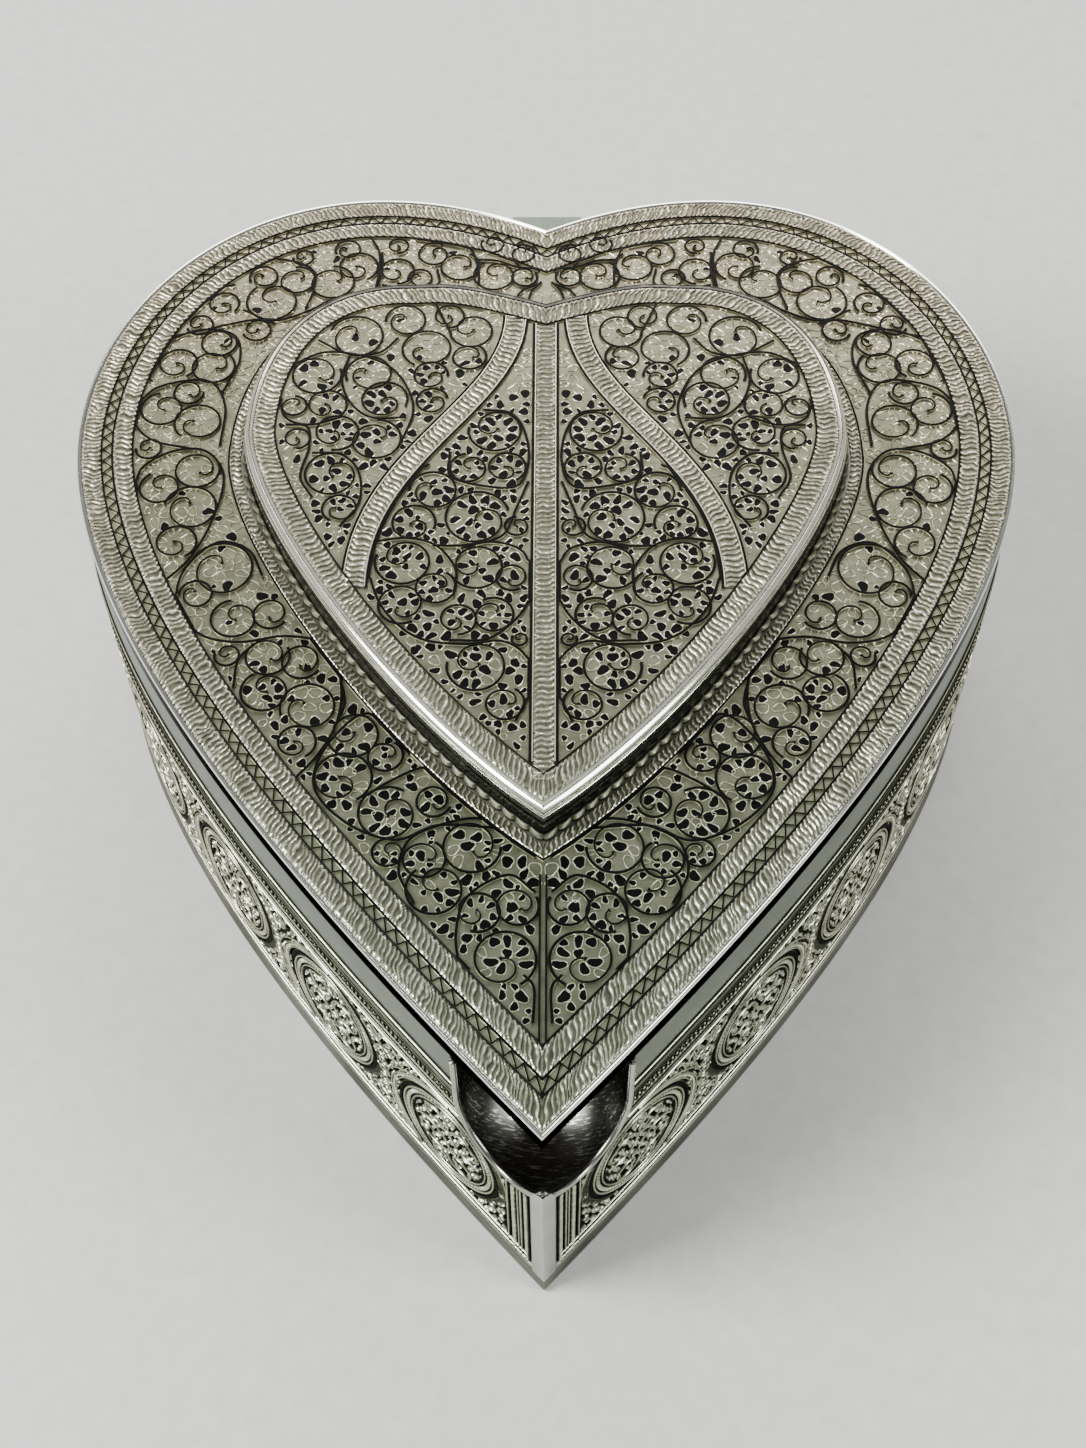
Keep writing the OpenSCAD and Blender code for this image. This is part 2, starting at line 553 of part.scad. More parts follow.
// Three-start screw: a wavy circle turned as it rises, with a groove level with the wheel
worm_z0 = second_z - 4;
worm_h = 8;
worm_turn = 360 * worm_h / worm_lead;
worm_phase = 180 + worm_starts * (90 + 360 * (second_z - worm_z0) / worm_lead);
module governor_worm() color("#a9adb0") at_mid() translate([worm_x, worm_y, 0]) union() {
    translate([0, 0, worm_z0]) linear_extrude(worm_h, twist = -worm_turn, slices = 26)
        polygon([for (i = [0:23]) let (a = i * 15)
            (worm_mean + worm_wave * cos(worm_starts * a + worm_phase)) * [cos(a), sin(a)]]);
    translate([0, 0, worm_low - 0.8]) cylinder(r = 0.6, h = cover_z - 3 - worm_low, $fn = 32);
}
module air_brake() color("#2c2e30") at_mid() translate([worm_x, worm_y, 0]) difference() {
    union() {
        translate([0, 0, worm_high + 1.4]) cylinder(r = 1.6, h = 3.4, $fn = 48);
        translate([-6, -0.3, worm_high + 1.5]) cube([12, 0.6, 2.8]);
        translate([0, 0, worm_high + 4.3]) cylinder(r = 3, h = 0.5, $fn = 48);
    }
    translate([0, 0, worm_high]) cylinder(r = 0.6, h = 10, $fn = 32);
}
// Rod under the lid, with a finger that rests just above the air brake's disc
finger_z = worm_high + 5.2;
module stop_rod() color("#a9adb0") at_mid() union() {
    translate([worm_x, stop_y, finger_z]) cylinder(r = 1, h = 56.8 - finger_z, $fn = 48);
    translate([worm_x - 0.8, stop_y, finger_z]) cube([1.6, worm_y - 1 - stop_y, 0.9]);
}

wall_left();
wall_right();
base_rim();
floor_plate();
thumb_scoop();
corner_strip();
side_filigree_left();
side_filigree_right();
bead_wires_left();
bead_wires_right();
inner_bezel_left();
inner_bezel_right();
lining_wall();
lining_floor();
hinge_leaf_box();
hinge_pin();
bedplate();
bed_screws();
comb();
comb_screws();
left_bearing();
right_bearing();
governor_bracket();
movement_cover();
rod_guide();
lid_side_left();
lid_side_right();
lid_plate();
lid_filigree();
outer_twist_band();
zigzag_band();
inner_twist_band();
raised_surround();
scallop_strip();
raised_side();
raised_filigree();
raised_border();
centre_band();
leaf_band_left();
leaf_band_right();
lid_lining();
lid_mirror();
hinge_leaf_lid();
winding_key();
winding_arbor();
spring_barrel();
mainspring();
pinned_cylinder();
cylinder_arbor();
cylinder_pinion();
cylinder_wheel();
second_arbor();
worm_wheel();
governor_worm();
air_brake();
stop_rod();
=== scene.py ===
import math

import bpy
import numpy as np
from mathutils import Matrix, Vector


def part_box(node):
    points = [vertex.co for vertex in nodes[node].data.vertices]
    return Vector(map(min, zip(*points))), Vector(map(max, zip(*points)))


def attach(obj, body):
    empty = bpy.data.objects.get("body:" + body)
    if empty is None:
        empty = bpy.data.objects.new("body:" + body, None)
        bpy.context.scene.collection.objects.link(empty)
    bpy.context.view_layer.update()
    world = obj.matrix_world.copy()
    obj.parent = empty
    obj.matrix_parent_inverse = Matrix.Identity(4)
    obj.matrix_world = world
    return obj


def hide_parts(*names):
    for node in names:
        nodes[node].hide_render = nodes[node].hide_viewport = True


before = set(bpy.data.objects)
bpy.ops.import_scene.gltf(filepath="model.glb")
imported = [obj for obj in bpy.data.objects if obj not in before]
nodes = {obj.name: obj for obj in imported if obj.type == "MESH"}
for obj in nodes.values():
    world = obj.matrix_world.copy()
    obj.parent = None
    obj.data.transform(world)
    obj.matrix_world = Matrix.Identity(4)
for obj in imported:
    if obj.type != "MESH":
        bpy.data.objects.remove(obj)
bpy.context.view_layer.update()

# ---------------------------------------------------------------------------------------------
# Walls of the box
# Two bent sheets of sterling silver, soldered at the cleft and at the front point, with a plain
# polished band above the wirework. The thumb scoop is cut through both at the front point.
# ---------------------------------------------------------------------------------------------

# Half outlines in mm: cleft y, its angle and handle, lobe x, y, handles in and out, widest x, y,
# handles up and down, half angle of the tip, its handle, tip y.
OUTER = [76.5, 27, 7, 28.4, 83.9, 12, 27, 75.7, 31.3, 29, 39, 43.8, 42, -89.5]
RISE = [53.5, 20, 17, 23, 57.8, 6, 14, 47.8, 26, 21, 15.5, 53.5, 28, -44.4]
TIP_Y = OUTER[-1]
# The outline's own origin lies behind the middle of the frame by this much
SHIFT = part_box("lid_side_left")[0].y * 1000 - TIP_Y


def cubic(a, b, c, d, t):
    """Points at t, 0 to 1, of the cubic curve from a to d with handle points b and c."""
    return (1 - t)**3 * a + 3 * (1 - t)**2 * t * b + 3 * (1 - t) * t**2 * c + t**3 * d


def respaced(line, count):
    """A line as count points evenly spaced along it, and its length."""
    run = np.concatenate([[0], np.cumsum(np.linalg.norm(np.diff(line, axis=0), axis=1))])
    s = np.linspace(0, run[-1], count)
    return np.stack([np.interp(s, run, line[:, c]) for c in range(line.shape[1])], 1), run[-1]


def square_to(paths, closed=False):
    """Unit direction square to each path, on its left, at every point of (..., points, 2)."""
    if closed:
        way = np.roll(paths, -1, axis=-2) - np.roll(paths, 1, axis=-2)
    else:
        way = np.gradient(paths, axis=-2)
    way = way / np.maximum(np.linalg.norm(way, axis=-1, keepdims=True), 1e-9)
    return np.stack([-way[..., 1], way[..., 0]], -1)


def heart_path(shape, offset, count):
    """Right half of a heart as count points evenly spaced from the cleft to the tip: three cubic
    curves end to end, each point moved outwards along its normal by offset, and the whole cut at,
    or carried straight on to, the plane x = 0. Returns the points and the length."""
    h = shape
    lean, half = math.radians(h[1]), math.radians(h[11])
    top, wide, tip = (h[3], h[4]), (h[7], h[8]), (0, h[13])
    cleft = (0, h[0])
    corners = np.array([
        [cleft, (h[2] * math.cos(lean), h[0] + h[2] * math.sin(lean)), (h[3] - h[5], h[4]), top],
        [top, (h[3] + h[6], h[4]), (h[7], h[8] + h[9]), wide],
        [wide, (h[7], h[8] - h[10]),
         (h[12] * math.sin(half), h[13] + h[12] * math.cos(half)), tip],
    ], float)
    t = np.linspace(0, 1, 500)[None, :, None]
    a, b, c, d = (corners[:, k, None, :] for k in range(4))
    p = cubic(a, b, c, d, t)
    v = (1 - t)**2 * (b - a) + 2 * (1 - t) * t * (c - b) + t**2 * (d - c)
    v /= np.linalg.norm(v, axis=2, keepdims=True)
    p = (p + offset * np.stack([-v[..., 1], v[..., 0]], -1)).reshape(-1, 2)
    v = v.reshape(-1, 2)
    p = np.concatenate([[p[0] - 30 * v[0]], p, [p[-1] + 30 * v[-1]]])
    inside = np.nonzero(p[:, 0] > 0)[0]
    first, last = inside[0], inside[-1]
    ends = []
    for out, near in ((first - 1, first), (last + 1, last)):
        k = p[near, 0] / (p[near, 0] - p[out, 0])
        ends.append([0, p[near, 1] + k * (p[out, 1] - p[near, 1])])
    return respaced(np.concatenate([[ends[0]], p[first:last + 1], [ends[1]]]), count)


def heart_loop(shape, offset, count):
    """Whole heart as a closed loop of 2 * count - 2 points: the right half from cleft to tip, then
    its mirror image from tip to cleft."""
    right = heart_path(shape, offset, count)[0]
    left = (right * [-1, 1])[::-1][1:-1]
    return np.concatenate([right, left])


def grid_faces(rows, cols, wrap_rows=False, wrap_cols=False):
    """Quads of a grid of rows x cols points, in row order; a wrapped side joins its last line to
    its first."""
    i = np.arange(rows if wrap_rows else rows - 1)[:, None]
    j = np.arange(cols if wrap_cols else cols - 1)[None, :]
    i2, j2 = (i + 1) % rows, (j + 1) % cols
    quads = [i * cols + j, i2 * cols + j, i2 * cols + j2, i * cols + j2]
    return np.stack([q + 0 * (i + j) for q in quads], -1).reshape(-1, 4)


def copies(faces, count, step):
    """The same faces for count equal grids that follow each other, each of step points."""
    return (faces[None] + (np.arange(count) * step)[:, None, None]).reshape(-1, faces.shape[1])


def facing(points, faces, up):
    """Faces turned round if need be: for a closed surface so that the volume that they enclose is
    positive, for an open one (up) so that on the whole they look up."""
    a, b, c = (points[faces[:, k]] for k in (0, 1, 2))
    n = np.cross(b - a, c - a)
    if faces.shape[1] == 4:
        n = n + np.cross(c - a, points[faces[:, 3]] - a)
    good = n[:, 2].sum() if up else (n * (a - points.mean(0))).sum()
    return faces if good > 0 else faces[:, ::-1]


def make(name, part, material, body, stands_for=(), up=False, sharp=35):
    """Puts a part, which is points in mm from the outline's origin, faces and sometimes a tone per
    point, into a mesh object; faces that meet at more than sharp degrees keep a crisp edge."""
    points = part[0].reshape(-1, 3)
    faces = facing(points, part[1], up)
    placed = (points + [0, SHIFT, 0]) / 1000
    mesh = bpy.data.meshes.new(name)
    mesh.vertices.add(len(placed))
    mesh.vertices.foreach_set("co", placed.astype(np.float32).ravel())
    sides = faces.shape[1]
    mesh.loops.add(faces.size)
    mesh.loops.foreach_set("vertex_index", faces.astype(np.int32).ravel())
    mesh.polygons.add(len(faces))
    mesh.polygons.foreach_set("loop_start", np.arange(0, faces.size, sides, dtype=np.int32))
    mesh.polygons.foreach_set("use_smooth", np.ones(len(faces), bool))
    mesh.update(calc_edges=True)
    mesh.set_sharp_from_angle(angle=math.radians(sharp))
    for tone in part[2:]:
        attribute = mesh.attributes.new("tone", "FLOAT", "POINT")
        attribute.data.foreach_set("value", np.clip(tone, 0, 1).astype(np.float32).ravel())
    piece = bpy.data.objects.new(name, mesh)
    bpy.context.scene.collection.objects.link(piece)
    mesh.materials.append(material)
    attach(piece, body)
    if stands_for:
        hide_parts(*stands_for)
    return piece


def linear(code):
    """sRGB hex colour as linear red, green and blue, and an alpha of one."""
    rgb = [int(code[i:i + 2], 16) / 255 for i in (1, 3, 5)]
    return tuple(c / 12.92 if c <= 0.04045 else ((c + 0.055) / 1.055)**2.4 for c in rgb) + (1.0,)


def fit(tree, n, settings=None, **links):
    """Sets up a shader node. settings holds its properties and, by socket name or number, its fixed
    input values; links gives sockets to join, by input name, as (node, output)."""
    for key, value in (settings or {}).items():
        if isinstance(key, int) or key in n.inputs:
            n.inputs[key].default_value = value
        elif key == "stops":
            while len(n.color_ramp.elements) < len(value):
                n.color_ramp.elements.new(0.5)
            for e, (at, code) in zip(n.color_ramp.elements, value):
                e.position = at
                e.color = linear(code)
        else:
            setattr(n, key, value)
    for key, (source, output) in links.items():
        at = int(key[1:]) if key[1:].isdigit() and key[0] == "i" else key.replace("_", " ")
        tree.links.new(source.outputs[output], n.inputs[at])
    return n


def node(tree, kind, settings=None, **links):
    """Adds one shader node of a kind and sets it up."""
    return fit(tree, tree.nodes.new("ShaderNode" + kind), settings, **links)


def blank(name):
    """New material with its shader node and Object coordinates; returns material, tree, shader and
    coordinates."""
    material = bpy.data.materials.new(name)
    material.use_nodes = True
    tree = material.node_tree
    tree.nodes.clear()
    shader = node(tree, "BsdfPrincipled")
    node(tree, "OutputMaterial", Surface=(shader, "BSDF"))
    coords = node(tree, "TexCoord")
    return material, tree, shader, coords


def polished(name, light, dark, rough, lines, tint="#ffffff"):
    """Sterling silver, rolled, raised and buffed: a soft mirror with level polishing lines some
    0.1 mm apart and a cloudy bloom, light to dark, some 15 mm across. tint is the colour of what
    it reflects at a slant."""
    material, tree, shader, coords = blank(name)
    cloud = node(tree, "TexNoise", {"Scale": 65.0, "Detail": 3.0}, Vector=(coords, "Object"))
    hue = node(tree, "ValToRGB", {"stops": [(0.3, dark), (0.7, light)]}, Fac=(cloud, "Fac"))
    stretch = node(tree, "Mapping", {"Scale": (1.0, 1.0, 9.0)}, Vector=(coords, "Object"))
    fine = node(tree, "TexNoise", {"Scale": 900.0, "Detail": 4.0, "Roughness": 0.7},
                Vector=(stretch, "Vector"))
    gloss = node(tree, "MapRange", {"To Min": rough * 0.75, "To Max": rough * 1.3},
                 Value=(fine, "Fac"))
    bump = node(tree, "Bump", {"Strength": lines, "Distance": 0.0001}, Height=(fine, "Fac"))
    fit(tree, shader, {"Metallic": 1.0, "Specular Tint": linear(tint)}, Base_Color=(hue, "Color"),
        Roughness=(gloss, "Result"), Normal=(bump, "Normal"))
    return material


plain_silver = polished("sterling_silver_buffed", "#727a6c", "#646c60", 0.4, 0.05)

WALL_TOP = 57.2
WALL_T = 1.2
SCOOP_R = 12.1
SCOOP_BACK = 11.8
SCOOP_H = 27.4
SCOOP_ROUND = 13.4


def from_scoop(points):
    """Distance of points, seen from above, from the scoop's upright axis."""
    return np.hypot(points[:, 0], points[:, 1] - TIP_Y - SCOOP_BACK)


def scoop_z(distance):
    """Height of the scoop's cut at a distance from its upright axis: a quarter ellipse below, the
    wall's top outside the scoop's radius."""
    d = np.clip(distance / SCOOP_R, 0, 1)
    z = WALL_TOP - SCOOP_H + SCOOP_ROUND * (1 - np.sqrt(1 - d**2))
    return np.where(distance < SCOOP_R, z, WALL_TOP)


def wall_shell(offset_out, offset_in, z_low, z_high, count, room=0.0):
    """Closed ring between two offsets of the outline, in lines of points that run round the heart
    up the outer face and down the inner one; near the front point its top follows the scoop's cut,
    with some room round the scoop."""
    faces = []
    for offset in (offset_out, offset_in):
        loop = heart_loop(OUTER, offset, count)
        reach = from_scoop(loop)
        top = np.where(reach < SCOOP_R + room, scoop_z(reach - room) - room, z_high)
        faces.append([np.column_stack([loop, z_low + (top - z_low) * k])
                      for k in np.linspace(0, 1, 6)])
    lines = faces[0] + faces[1][::-1]
    points = np.stack(lines, 1)
    return points, grid_faces(points.shape[0], points.shape[1], True, True)


make("walls", wall_shell(0, -WALL_T, 2, WALL_TOP, 900), plain_silver, "box",
     ["wall_left", "wall_right"])


def sweep_heart(shape, profile, count=420):
    """Closed ring whose cross-section is the profile, a closed list of (offset, z): every profile
    point runs round its own offset of the outline, so corners stay mitred."""
    loops = [heart_loop(shape, o, count) for o, _ in profile]
    lines = [np.column_stack([l, np.full(len(l), float(z))]) for l, (_, z) in zip(loops, profile)]
    points = np.stack(lines, 1)
    return points, grid_faces(points.shape[0], points.shape[1], True, True)


# ---------------------------------------------------------------------------------------------
# Base moulding
# A drawn silver wire of stepped section, soldered round the foot of the walls; it stands out by
# 0.85 mm and hides the edge of the sheet.
# ---------------------------------------------------------------------------------------------
moulding_silver = polished("drawn_silver_moulding", "#85857a", "#55564d", 0.42, 0.3)
profile = [(0, 0), (0.6, 0), (0.8, 0.4), (0.85, 1), (0.8, 1.7), (0.6, 2.0), (0.55, 2.3),
           (0.75, 2.6), (0.8, 3.0), (0.6, 3.5), (0.3, 3.9), (0.02, 4.0)]
make("base_moulding", sweep_heart(OUTER, profile, 500), moulding_silver, "box",
     ["base_rim"])


# ---------------------------------------------------------------------------------------------
# Wirework of the side panels
# Flat sterling wire, rolled on edge, bent into scrolls and large oval medallions and soldered to
# the wall between two plain wires; blackened with liver of sulphur, then rubbed bright on top.
# ---------------------------------------------------------------------------------------------

def smooth(x):
    """Cubic step from 0 to 1."""
    x = np.clip(x, 0, 1)
    return x * x * (3 - 2 * x)


def value_noise(x, y, seed):
    """Smooth noise between 0 and 1: random values at whole coordinates, blended with the cubic
    step in between."""
    table = np.random.default_rng(seed).random((64, 64))
    i, j = np.floor(x).astype(int), np.floor(y).astype(int)
    u, v = smooth(x - i), smooth(y - j)
    a, b = table[i % 64, j % 64], table[(i + 1) % 64, j % 64]
    c, d = table[i % 64, (j + 1) % 64], table[(i + 1) % 64, (j + 1) % 64]
    return (a * (1 - u) + b * u) * (1 - v) + (c * (1 - u) + d * u) * v


# Cross-section of a laid wire: place across, height and tone, from one foot to the other. The crown
# is black or bright; the black wire's shoulders are bright, one more than the other: painted
# highlight.
BLACK_WIRE = [(-1.25, 0, 0.25), (-1.15, 0.45, 0.95), (-0.8, 0.9, 0.08), (0, 1.0, 0.0),
              (0.8, 0.9, 0.08), (1.15, 0.45, 0.75), (1.25, 0, 0.25)]
BRIGHT_WIRE = [(-1.2, 0, 0.05), (-0.9, 0.6, 0.55), (-0.3, 1.0, 0.95), (0.3, 1.0, 1.0),
               (0.9, 0.6, 0.6), (1.2, 0, 0.05)]
FINE_WIRE = [(-1.1, 0, 0.3), (-0.25, 1.0, 1.0), (0.45, 0.9, 0.9), (1.1, 0, 0.2)]
THIN_WIRE = [(-1.2, 0, 0.5), (0, 1.0, 1.0), (1.2, 0, 0.5)]
RIBBON = [(-1.2, 0, 0.05), (-1.0, 0.7, 0.85), (-0.75, 1.0, 0.62), (0.75, 1.0, 0.55),
          (1.0, 0.7, 0.85), (1.2, 0, 0.05)]


def lay_wire(paths, half_width, height, section, closed=False):
    """Wires laid on a flat: paths is (wires, points, 2); each point carries the section across the
    path's direction, as wide as 2 * half_width and as high as height. Returns points (across,
    along, height), faces and tone."""
    paths = np.asarray(paths, float)
    side = square_to(paths, closed)
    section = np.array(section)
    width = np.broadcast_to(half_width, paths.shape[:2])[..., None]
    tall = np.broadcast_to(height, paths.shape[:2])[..., None]
    flat = paths[:, :, None, :] + side[:, :, None, :] * (width * section[:, 0])[..., None]
    up = tall * section[:, 1]
    tone = np.broadcast_to(section[:, 2], up.shape)
    wires, along, across = up.shape
    points = np.concatenate([flat, up[..., None]], -1).reshape(-1, 3)
    faces = copies(grid_faces(along, across, wrap_rows=closed), wires, along * across)
    return points, faces, tone.ravel()


def join(parts):
    """Several (points, faces, tone) as one."""
    points, faces, tone, start = [], [], [], 0
    for p, f, t in parts:
        points.append(p)
        faces.append(f + start)
        tone.append(t)
        start += len(p)
    return np.concatenate(points), np.concatenate(faces), np.concatenate(tone)


def spirals(table, count):
    """Scrolls from rows of (x, y, radius, angle where the stem joins, turning sense): each runs
    round its circle for about two thirds of a turn, then its radius falls smoothly to a seventh
    as it curls in, a turn and a half in all."""
    t = np.array(table, float)
    k = np.linspace(0, 1, count)[None, :]
    turns = 1.42
    angle = np.radians(t[:, 3:4]) + t[:, 4:5] * 2 * math.pi * turns * k
    shrink = 1 - 0.86 * smooth((k * turns - 0.58) / (turns - 0.5))
    radius = t[:, 2:3] * shrink
    # the curl ends a little off the middle, towards the side where it came in
    drift = 0.22 * t[:, 2:3] * smooth((k - 0.5) * 2)
    x = t[:, 0:1] + radius * np.cos(angle) + drift * np.cos(angle[:, -1:] + 2.2)
    y = t[:, 1:2] + radius * np.sin(angle) + drift * np.sin(angle[:, -1:] + 2.2)
    return np.stack([x, y], -1)


def taper(count, wide, thin, ball):
    """Half width along a scroll: wide at the stem, thin at the curl, with a melted ball of silver
    at the very end."""
    k = np.linspace(0, 1, count)
    w = wide + (thin - wide) * smooth(k)
    return w + (ball - thin) * smooth((k - 0.955) / 0.02) * smooth((1.004 - k) / 0.012)


def through(points, count):
    """Smooth path through given points: a cubic between each pair whose slope at a point is half
    the step between that point's neighbours, resampled evenly."""
    p = np.array(points, float)
    slope = np.gradient(p, axis=0)
    t = np.linspace(0, 1, 24, endpoint=False)[None, :, None]
    a, b, u, v = p[:-1, None], p[1:, None], slope[:-1, None], slope[1:, None]
    curve = ((2 * t**3 - 3 * t**2 + 1) * a + (t**3 - 2 * t**2 + t) * u
             + (3 * t**2 - 2 * t**3) * b + (t**3 - t**2) * v).reshape(-1, 2)
    return respaced(np.concatenate([curve, p[-1:]]), count)[0]


def wirework(name, ramp, rough, bump_mm, tint="#ffffff"):
    """Sterling wirework blackened with liver of sulphur and rubbed: deep black where the rouge
    can't reach, a dull grey-green tarnish on the ground, bright silver on every crown. The tone
    attribute sets how dark or bright a point is: how far it was rubbed, and in places painted
    shade, painted shadow, painted highlight and painted reflection; tarnish is warmer at the back,
    greener in front."""
    material, tree, shader, coords = blank(name)
    tone = node(tree, "Attribute", {"attribute_name": "tone"})
    grime = node(tree, "TexNoise", {"Scale": 420.0, "Detail": 5.0, "Roughness": 0.65},
                 Vector=(coords, "Object"))
    stain = node(tree, "MapRange", {"From Min": 0.3, "From Max": 0.7, "To Min": -0.07,
                                    "To Max": 0.07}, Value=(grime, "Fac"))
    level = node(tree, "Math", {"operation": "ADD"}, i0=(tone, "Fac"), i1=(stain, "Result"))
    hue = node(tree, "ValToRGB", {"stops": ramp}, Fac=(level, "Value"))
    place = node(tree, "SeparateXYZ", Vector=(coords, "Object"))
    back = node(tree, "MapRange", {"From Min": -0.06, "From Max": 0.06}, Value=(place, "Y"))
    tarnish = node(tree, "ValToRGB", {"stops": [(0.0, "#f4fbea"), (1.0, "#fff4e2")]},
                   Fac=(back, "Result"))
    tinted = node(tree, "Mix", {"data_type": "RGBA", "blend_type": "MULTIPLY", "Factor": 1.0},
                  i6=(hue, "Color"), i7=(tarnish, "Color"))
    gloss = node(tree, "MapRange", {"To Min": rough * 1.25, "To Max": rough * 0.8},
                 Value=(level, "Value"))
    bump = node(tree, "Bump", {"Strength": 0.35, "Distance": bump_mm / 1000},
                Height=(grime, "Fac"))
    fit(tree, shader, {"Metallic": 0.85, "Specular Tint": linear(tint)}, Base_Color=(tinted, 2),
        Roughness=(gloss, "Result"), Normal=(bump, "Normal"))
    return material


scroll_silver = wirework("oxidised_silver_scrollwork", [
    (0.0, "#040404"), (0.2, "#161714"), (0.45, "#6c6d60"), (0.7, "#a8a99a"), (0.92, "#fffef6")],
    0.38, 0.05)

# a darker copy of the scrollwork's colours for the steep walls, with a dim tint at a slant: painted
# shade
side_silver_painted_shade = wirework("oxidised_silver_side_scrollwork_painted_shade", [
    (0.0, "#020202"), (0.2, "#0b0c0a"), (0.45, "#35362e"), (0.7, "#6c6d62"), (1.0, "#f2f1e7")],
    0.38, 0.05, "#7c7c74")

PANEL_LOW = 4.6
PANEL_TOP = 38.5
SIDE_COUNT = 2400
side_line, side_length = heart_path(OUTER, 0.02, SIDE_COUNT)
side_out = square_to(side_line)
SIDES = ((1, "right"), (-1, "left"))


def on_wall(flat, side):
    """Carries (distance from the front point along the wall, height, thickness outwards) on to the
    wall's outer face; side is 1 on the right and -1 on the left."""
    at = np.clip((side_length - flat[:, 0]) / side_length, 0, 1) * (SIDE_COUNT - 1)
    k = np.arange(SIDE_COUNT)
    x, y = (np.interp(at, k, side_line[:, c]) for c in (0, 1))
    u, v = (np.interp(at, k, side_out[:, c]) for c in (0, 1))
    return np.column_stack([side * (x + u * flat[:, 2]), y + v * flat[:, 2], flat[:, 1]])


# Medallions: spacing along the wall, height of their middles, and how far an oval's top leans back
# for each millimetre of height
MEDALLION = 28.0
MID_Z = 22.6
LEAN = 0.13
medallions = np.arange(20.5, side_length - 9, MEDALLION)


def leaning(s, z, a, b, start, end, count):
    """Oval about (s, z) with half axes a and b from one angle to another, in degrees; its top
    leans back towards the front point."""
    w = np.radians(np.linspace(start, end, count, endpoint=end - start < 359))
    up = b * np.sin(w)
    return np.stack([s + a * np.cos(w) - LEAN * up, z + up], -1)


def clear_of_ends(paths):
    """The wires that keep off the corner strip and the cleft."""
    return [p for p in paths if p[:, 0].min() > 8.0 and p[:, 0].max() < side_length - 0.8]


# Where the wires begin beside the corner strip
WIRE_START = 3.2


def panel_parts():
    """The larger wires of one side panel in (distance, height): frame wires, medallions with their
    ribbed oval rings, bundles of arcs and a plain ribbon between them, scrolls in both."""
    parts = []
    run = np.linspace(WIRE_START, side_length - 1, 340)
    for z, w, section in ((5.1, 0.2, BLACK_WIRE), (5.9, 0.2, BRIGHT_WIRE), (7.4, 0.3, BLACK_WIRE),
                          (8.2, 0.16, BRIGHT_WIRE), (38.2, 0.22, BRIGHT_WIRE)):
        parts.append(lay_wire([np.stack([run, np.full(len(run), z)], -1)], w, 0.5, section))
    for a, b, w, section in ((10.9, 13.9, 0.3, BLACK_WIRE), (10.1, 13.1, 0.26, BRIGHT_WIRE),
                             (8.3, 11.3, 0.2, BRIGHT_WIRE), (7.8, 10.8, 0.2, BLACK_WIRE)):
        rings = [leaning(s, MID_Z, a, b, 0, 360, 90) for s in medallions]
        parts.append(lay_wire(clear_of_ends(rings), w, 0.55, section, closed=True))
    # serrated wire between the rings: a zigzag wave round the oval
    waves = []
    w = np.linspace(0, 2 * math.pi, 408, endpoint=False)
    for s in medallions:
        r = 0.38 * np.sin(w * 68)
        up = (12.2 + r) * np.sin(w)
        waves.append(np.stack([s + (9.2 + r) * np.cos(w) - LEAN * up, MID_Z + up], -1))
    parts.append(lay_wire(clear_of_ends(waves), 0.15, 0.52, FINE_WIRE, closed=True))
    arcs, serrated, ribbons = [], [], []
    for s in medallions:
        for k in range(3):
            arcs.append(leaning(s, MID_Z, 12.0 + 1.15 * k, 14.6 + 0.45 * k, -62 - 4 * k, 86, 90))
        wave = leaning(s, MID_Z, 12.6, 14.8, -60, 84, 260)
        wave[:, 0] += 0.2 * np.sin(np.arange(260) * 1.4)
        serrated.append(wave)
        ribbons.append(leaning(s, MID_Z, 12.1, 14.3, 118, 236, 80))
    parts.append(lay_wire(clear_of_ends(arcs), 0.2, 0.55, BRIGHT_WIRE))
    parts.append(lay_wire(clear_of_ends(serrated), 0.13, 0.5, FINE_WIRE))
    parts.append(lay_wire(clear_of_ends(ribbons), 0.62, 0.4, RIBBON))
    curls, small = [], []
    for k, s in enumerate(medallions):
        turn = 1 if k % 2 else -1
        curls += [(s - 4.1, MID_Z + 3.4, 3.5, 200, -turn), (s + 3.6, MID_Z - 2.8, 3.7, 20, -turn),
                  (s + 2.2, MID_Z + 5.4, 2.6, -100, turn), (s - 2.2, MID_Z - 6.0, 2.8, 80, turn),
                  (s - 0.6, MID_Z + 9.0, 1.5, -60, -turn), (s + 2.4, MID_Z - 8.6, 1.5, 60, turn)]
        e = s + MEDALLION / 2 + 0.6
        curls += [(e - 1.6, 34.6, 2.6, -90, turn), (e + 2.6, 35.4, 1.9, 120, -turn),
                  (e + 0.4, 30.4, 1.4, 20, turn), (e + 1.6, 11.6, 2.7, 90, turn),
                  (e - 2.9, 10.4, 1.6, 60, -turn), (e + 5.4, 10.3, 1.5, 140, turn)]
        small += [(e + 0.2, 26.6, 1.0, -90, 1), (e + 0.3, 23.4, 1.2, 90, 1),
                  (e + 0.4, 19.8, 1.2, -90, -1), (e + 0.6, 16.6, 1.0, 90, -1)]
    curls = [c for c in curls if 9.5 < c[0] < side_length - 3]
    small = [c for c in small if 9.5 < c[0] < side_length - 3]
    parts.append(lay_wire(spirals(curls, 40), taper(40, 0.27, 0.18, 0.45), 0.55, BRIGHT_WIRE))
    parts.append(lay_wire(spirals(small, 34), taper(34, 0.22, 0.15, 0.32), 0.5, BRIGHT_WIRE))
    # upright serrated wires beside the plain corner strip
    z = np.linspace(PANEL_LOW + 0.6, 38.3, 210)
    for s, amp in ((3.3, 0.3), (4.4, 0.0), (5.0, 0.0), (6.0, 0.32), (7.3, 0.0)):
        line = np.stack([s + amp * np.sin(z * 2 * math.pi / 0.85), z], -1)
        parts.append(lay_wire([line], 0.17, 0.5, FINE_WIRE if amp else BRIGHT_WIRE))
    return join(parts)


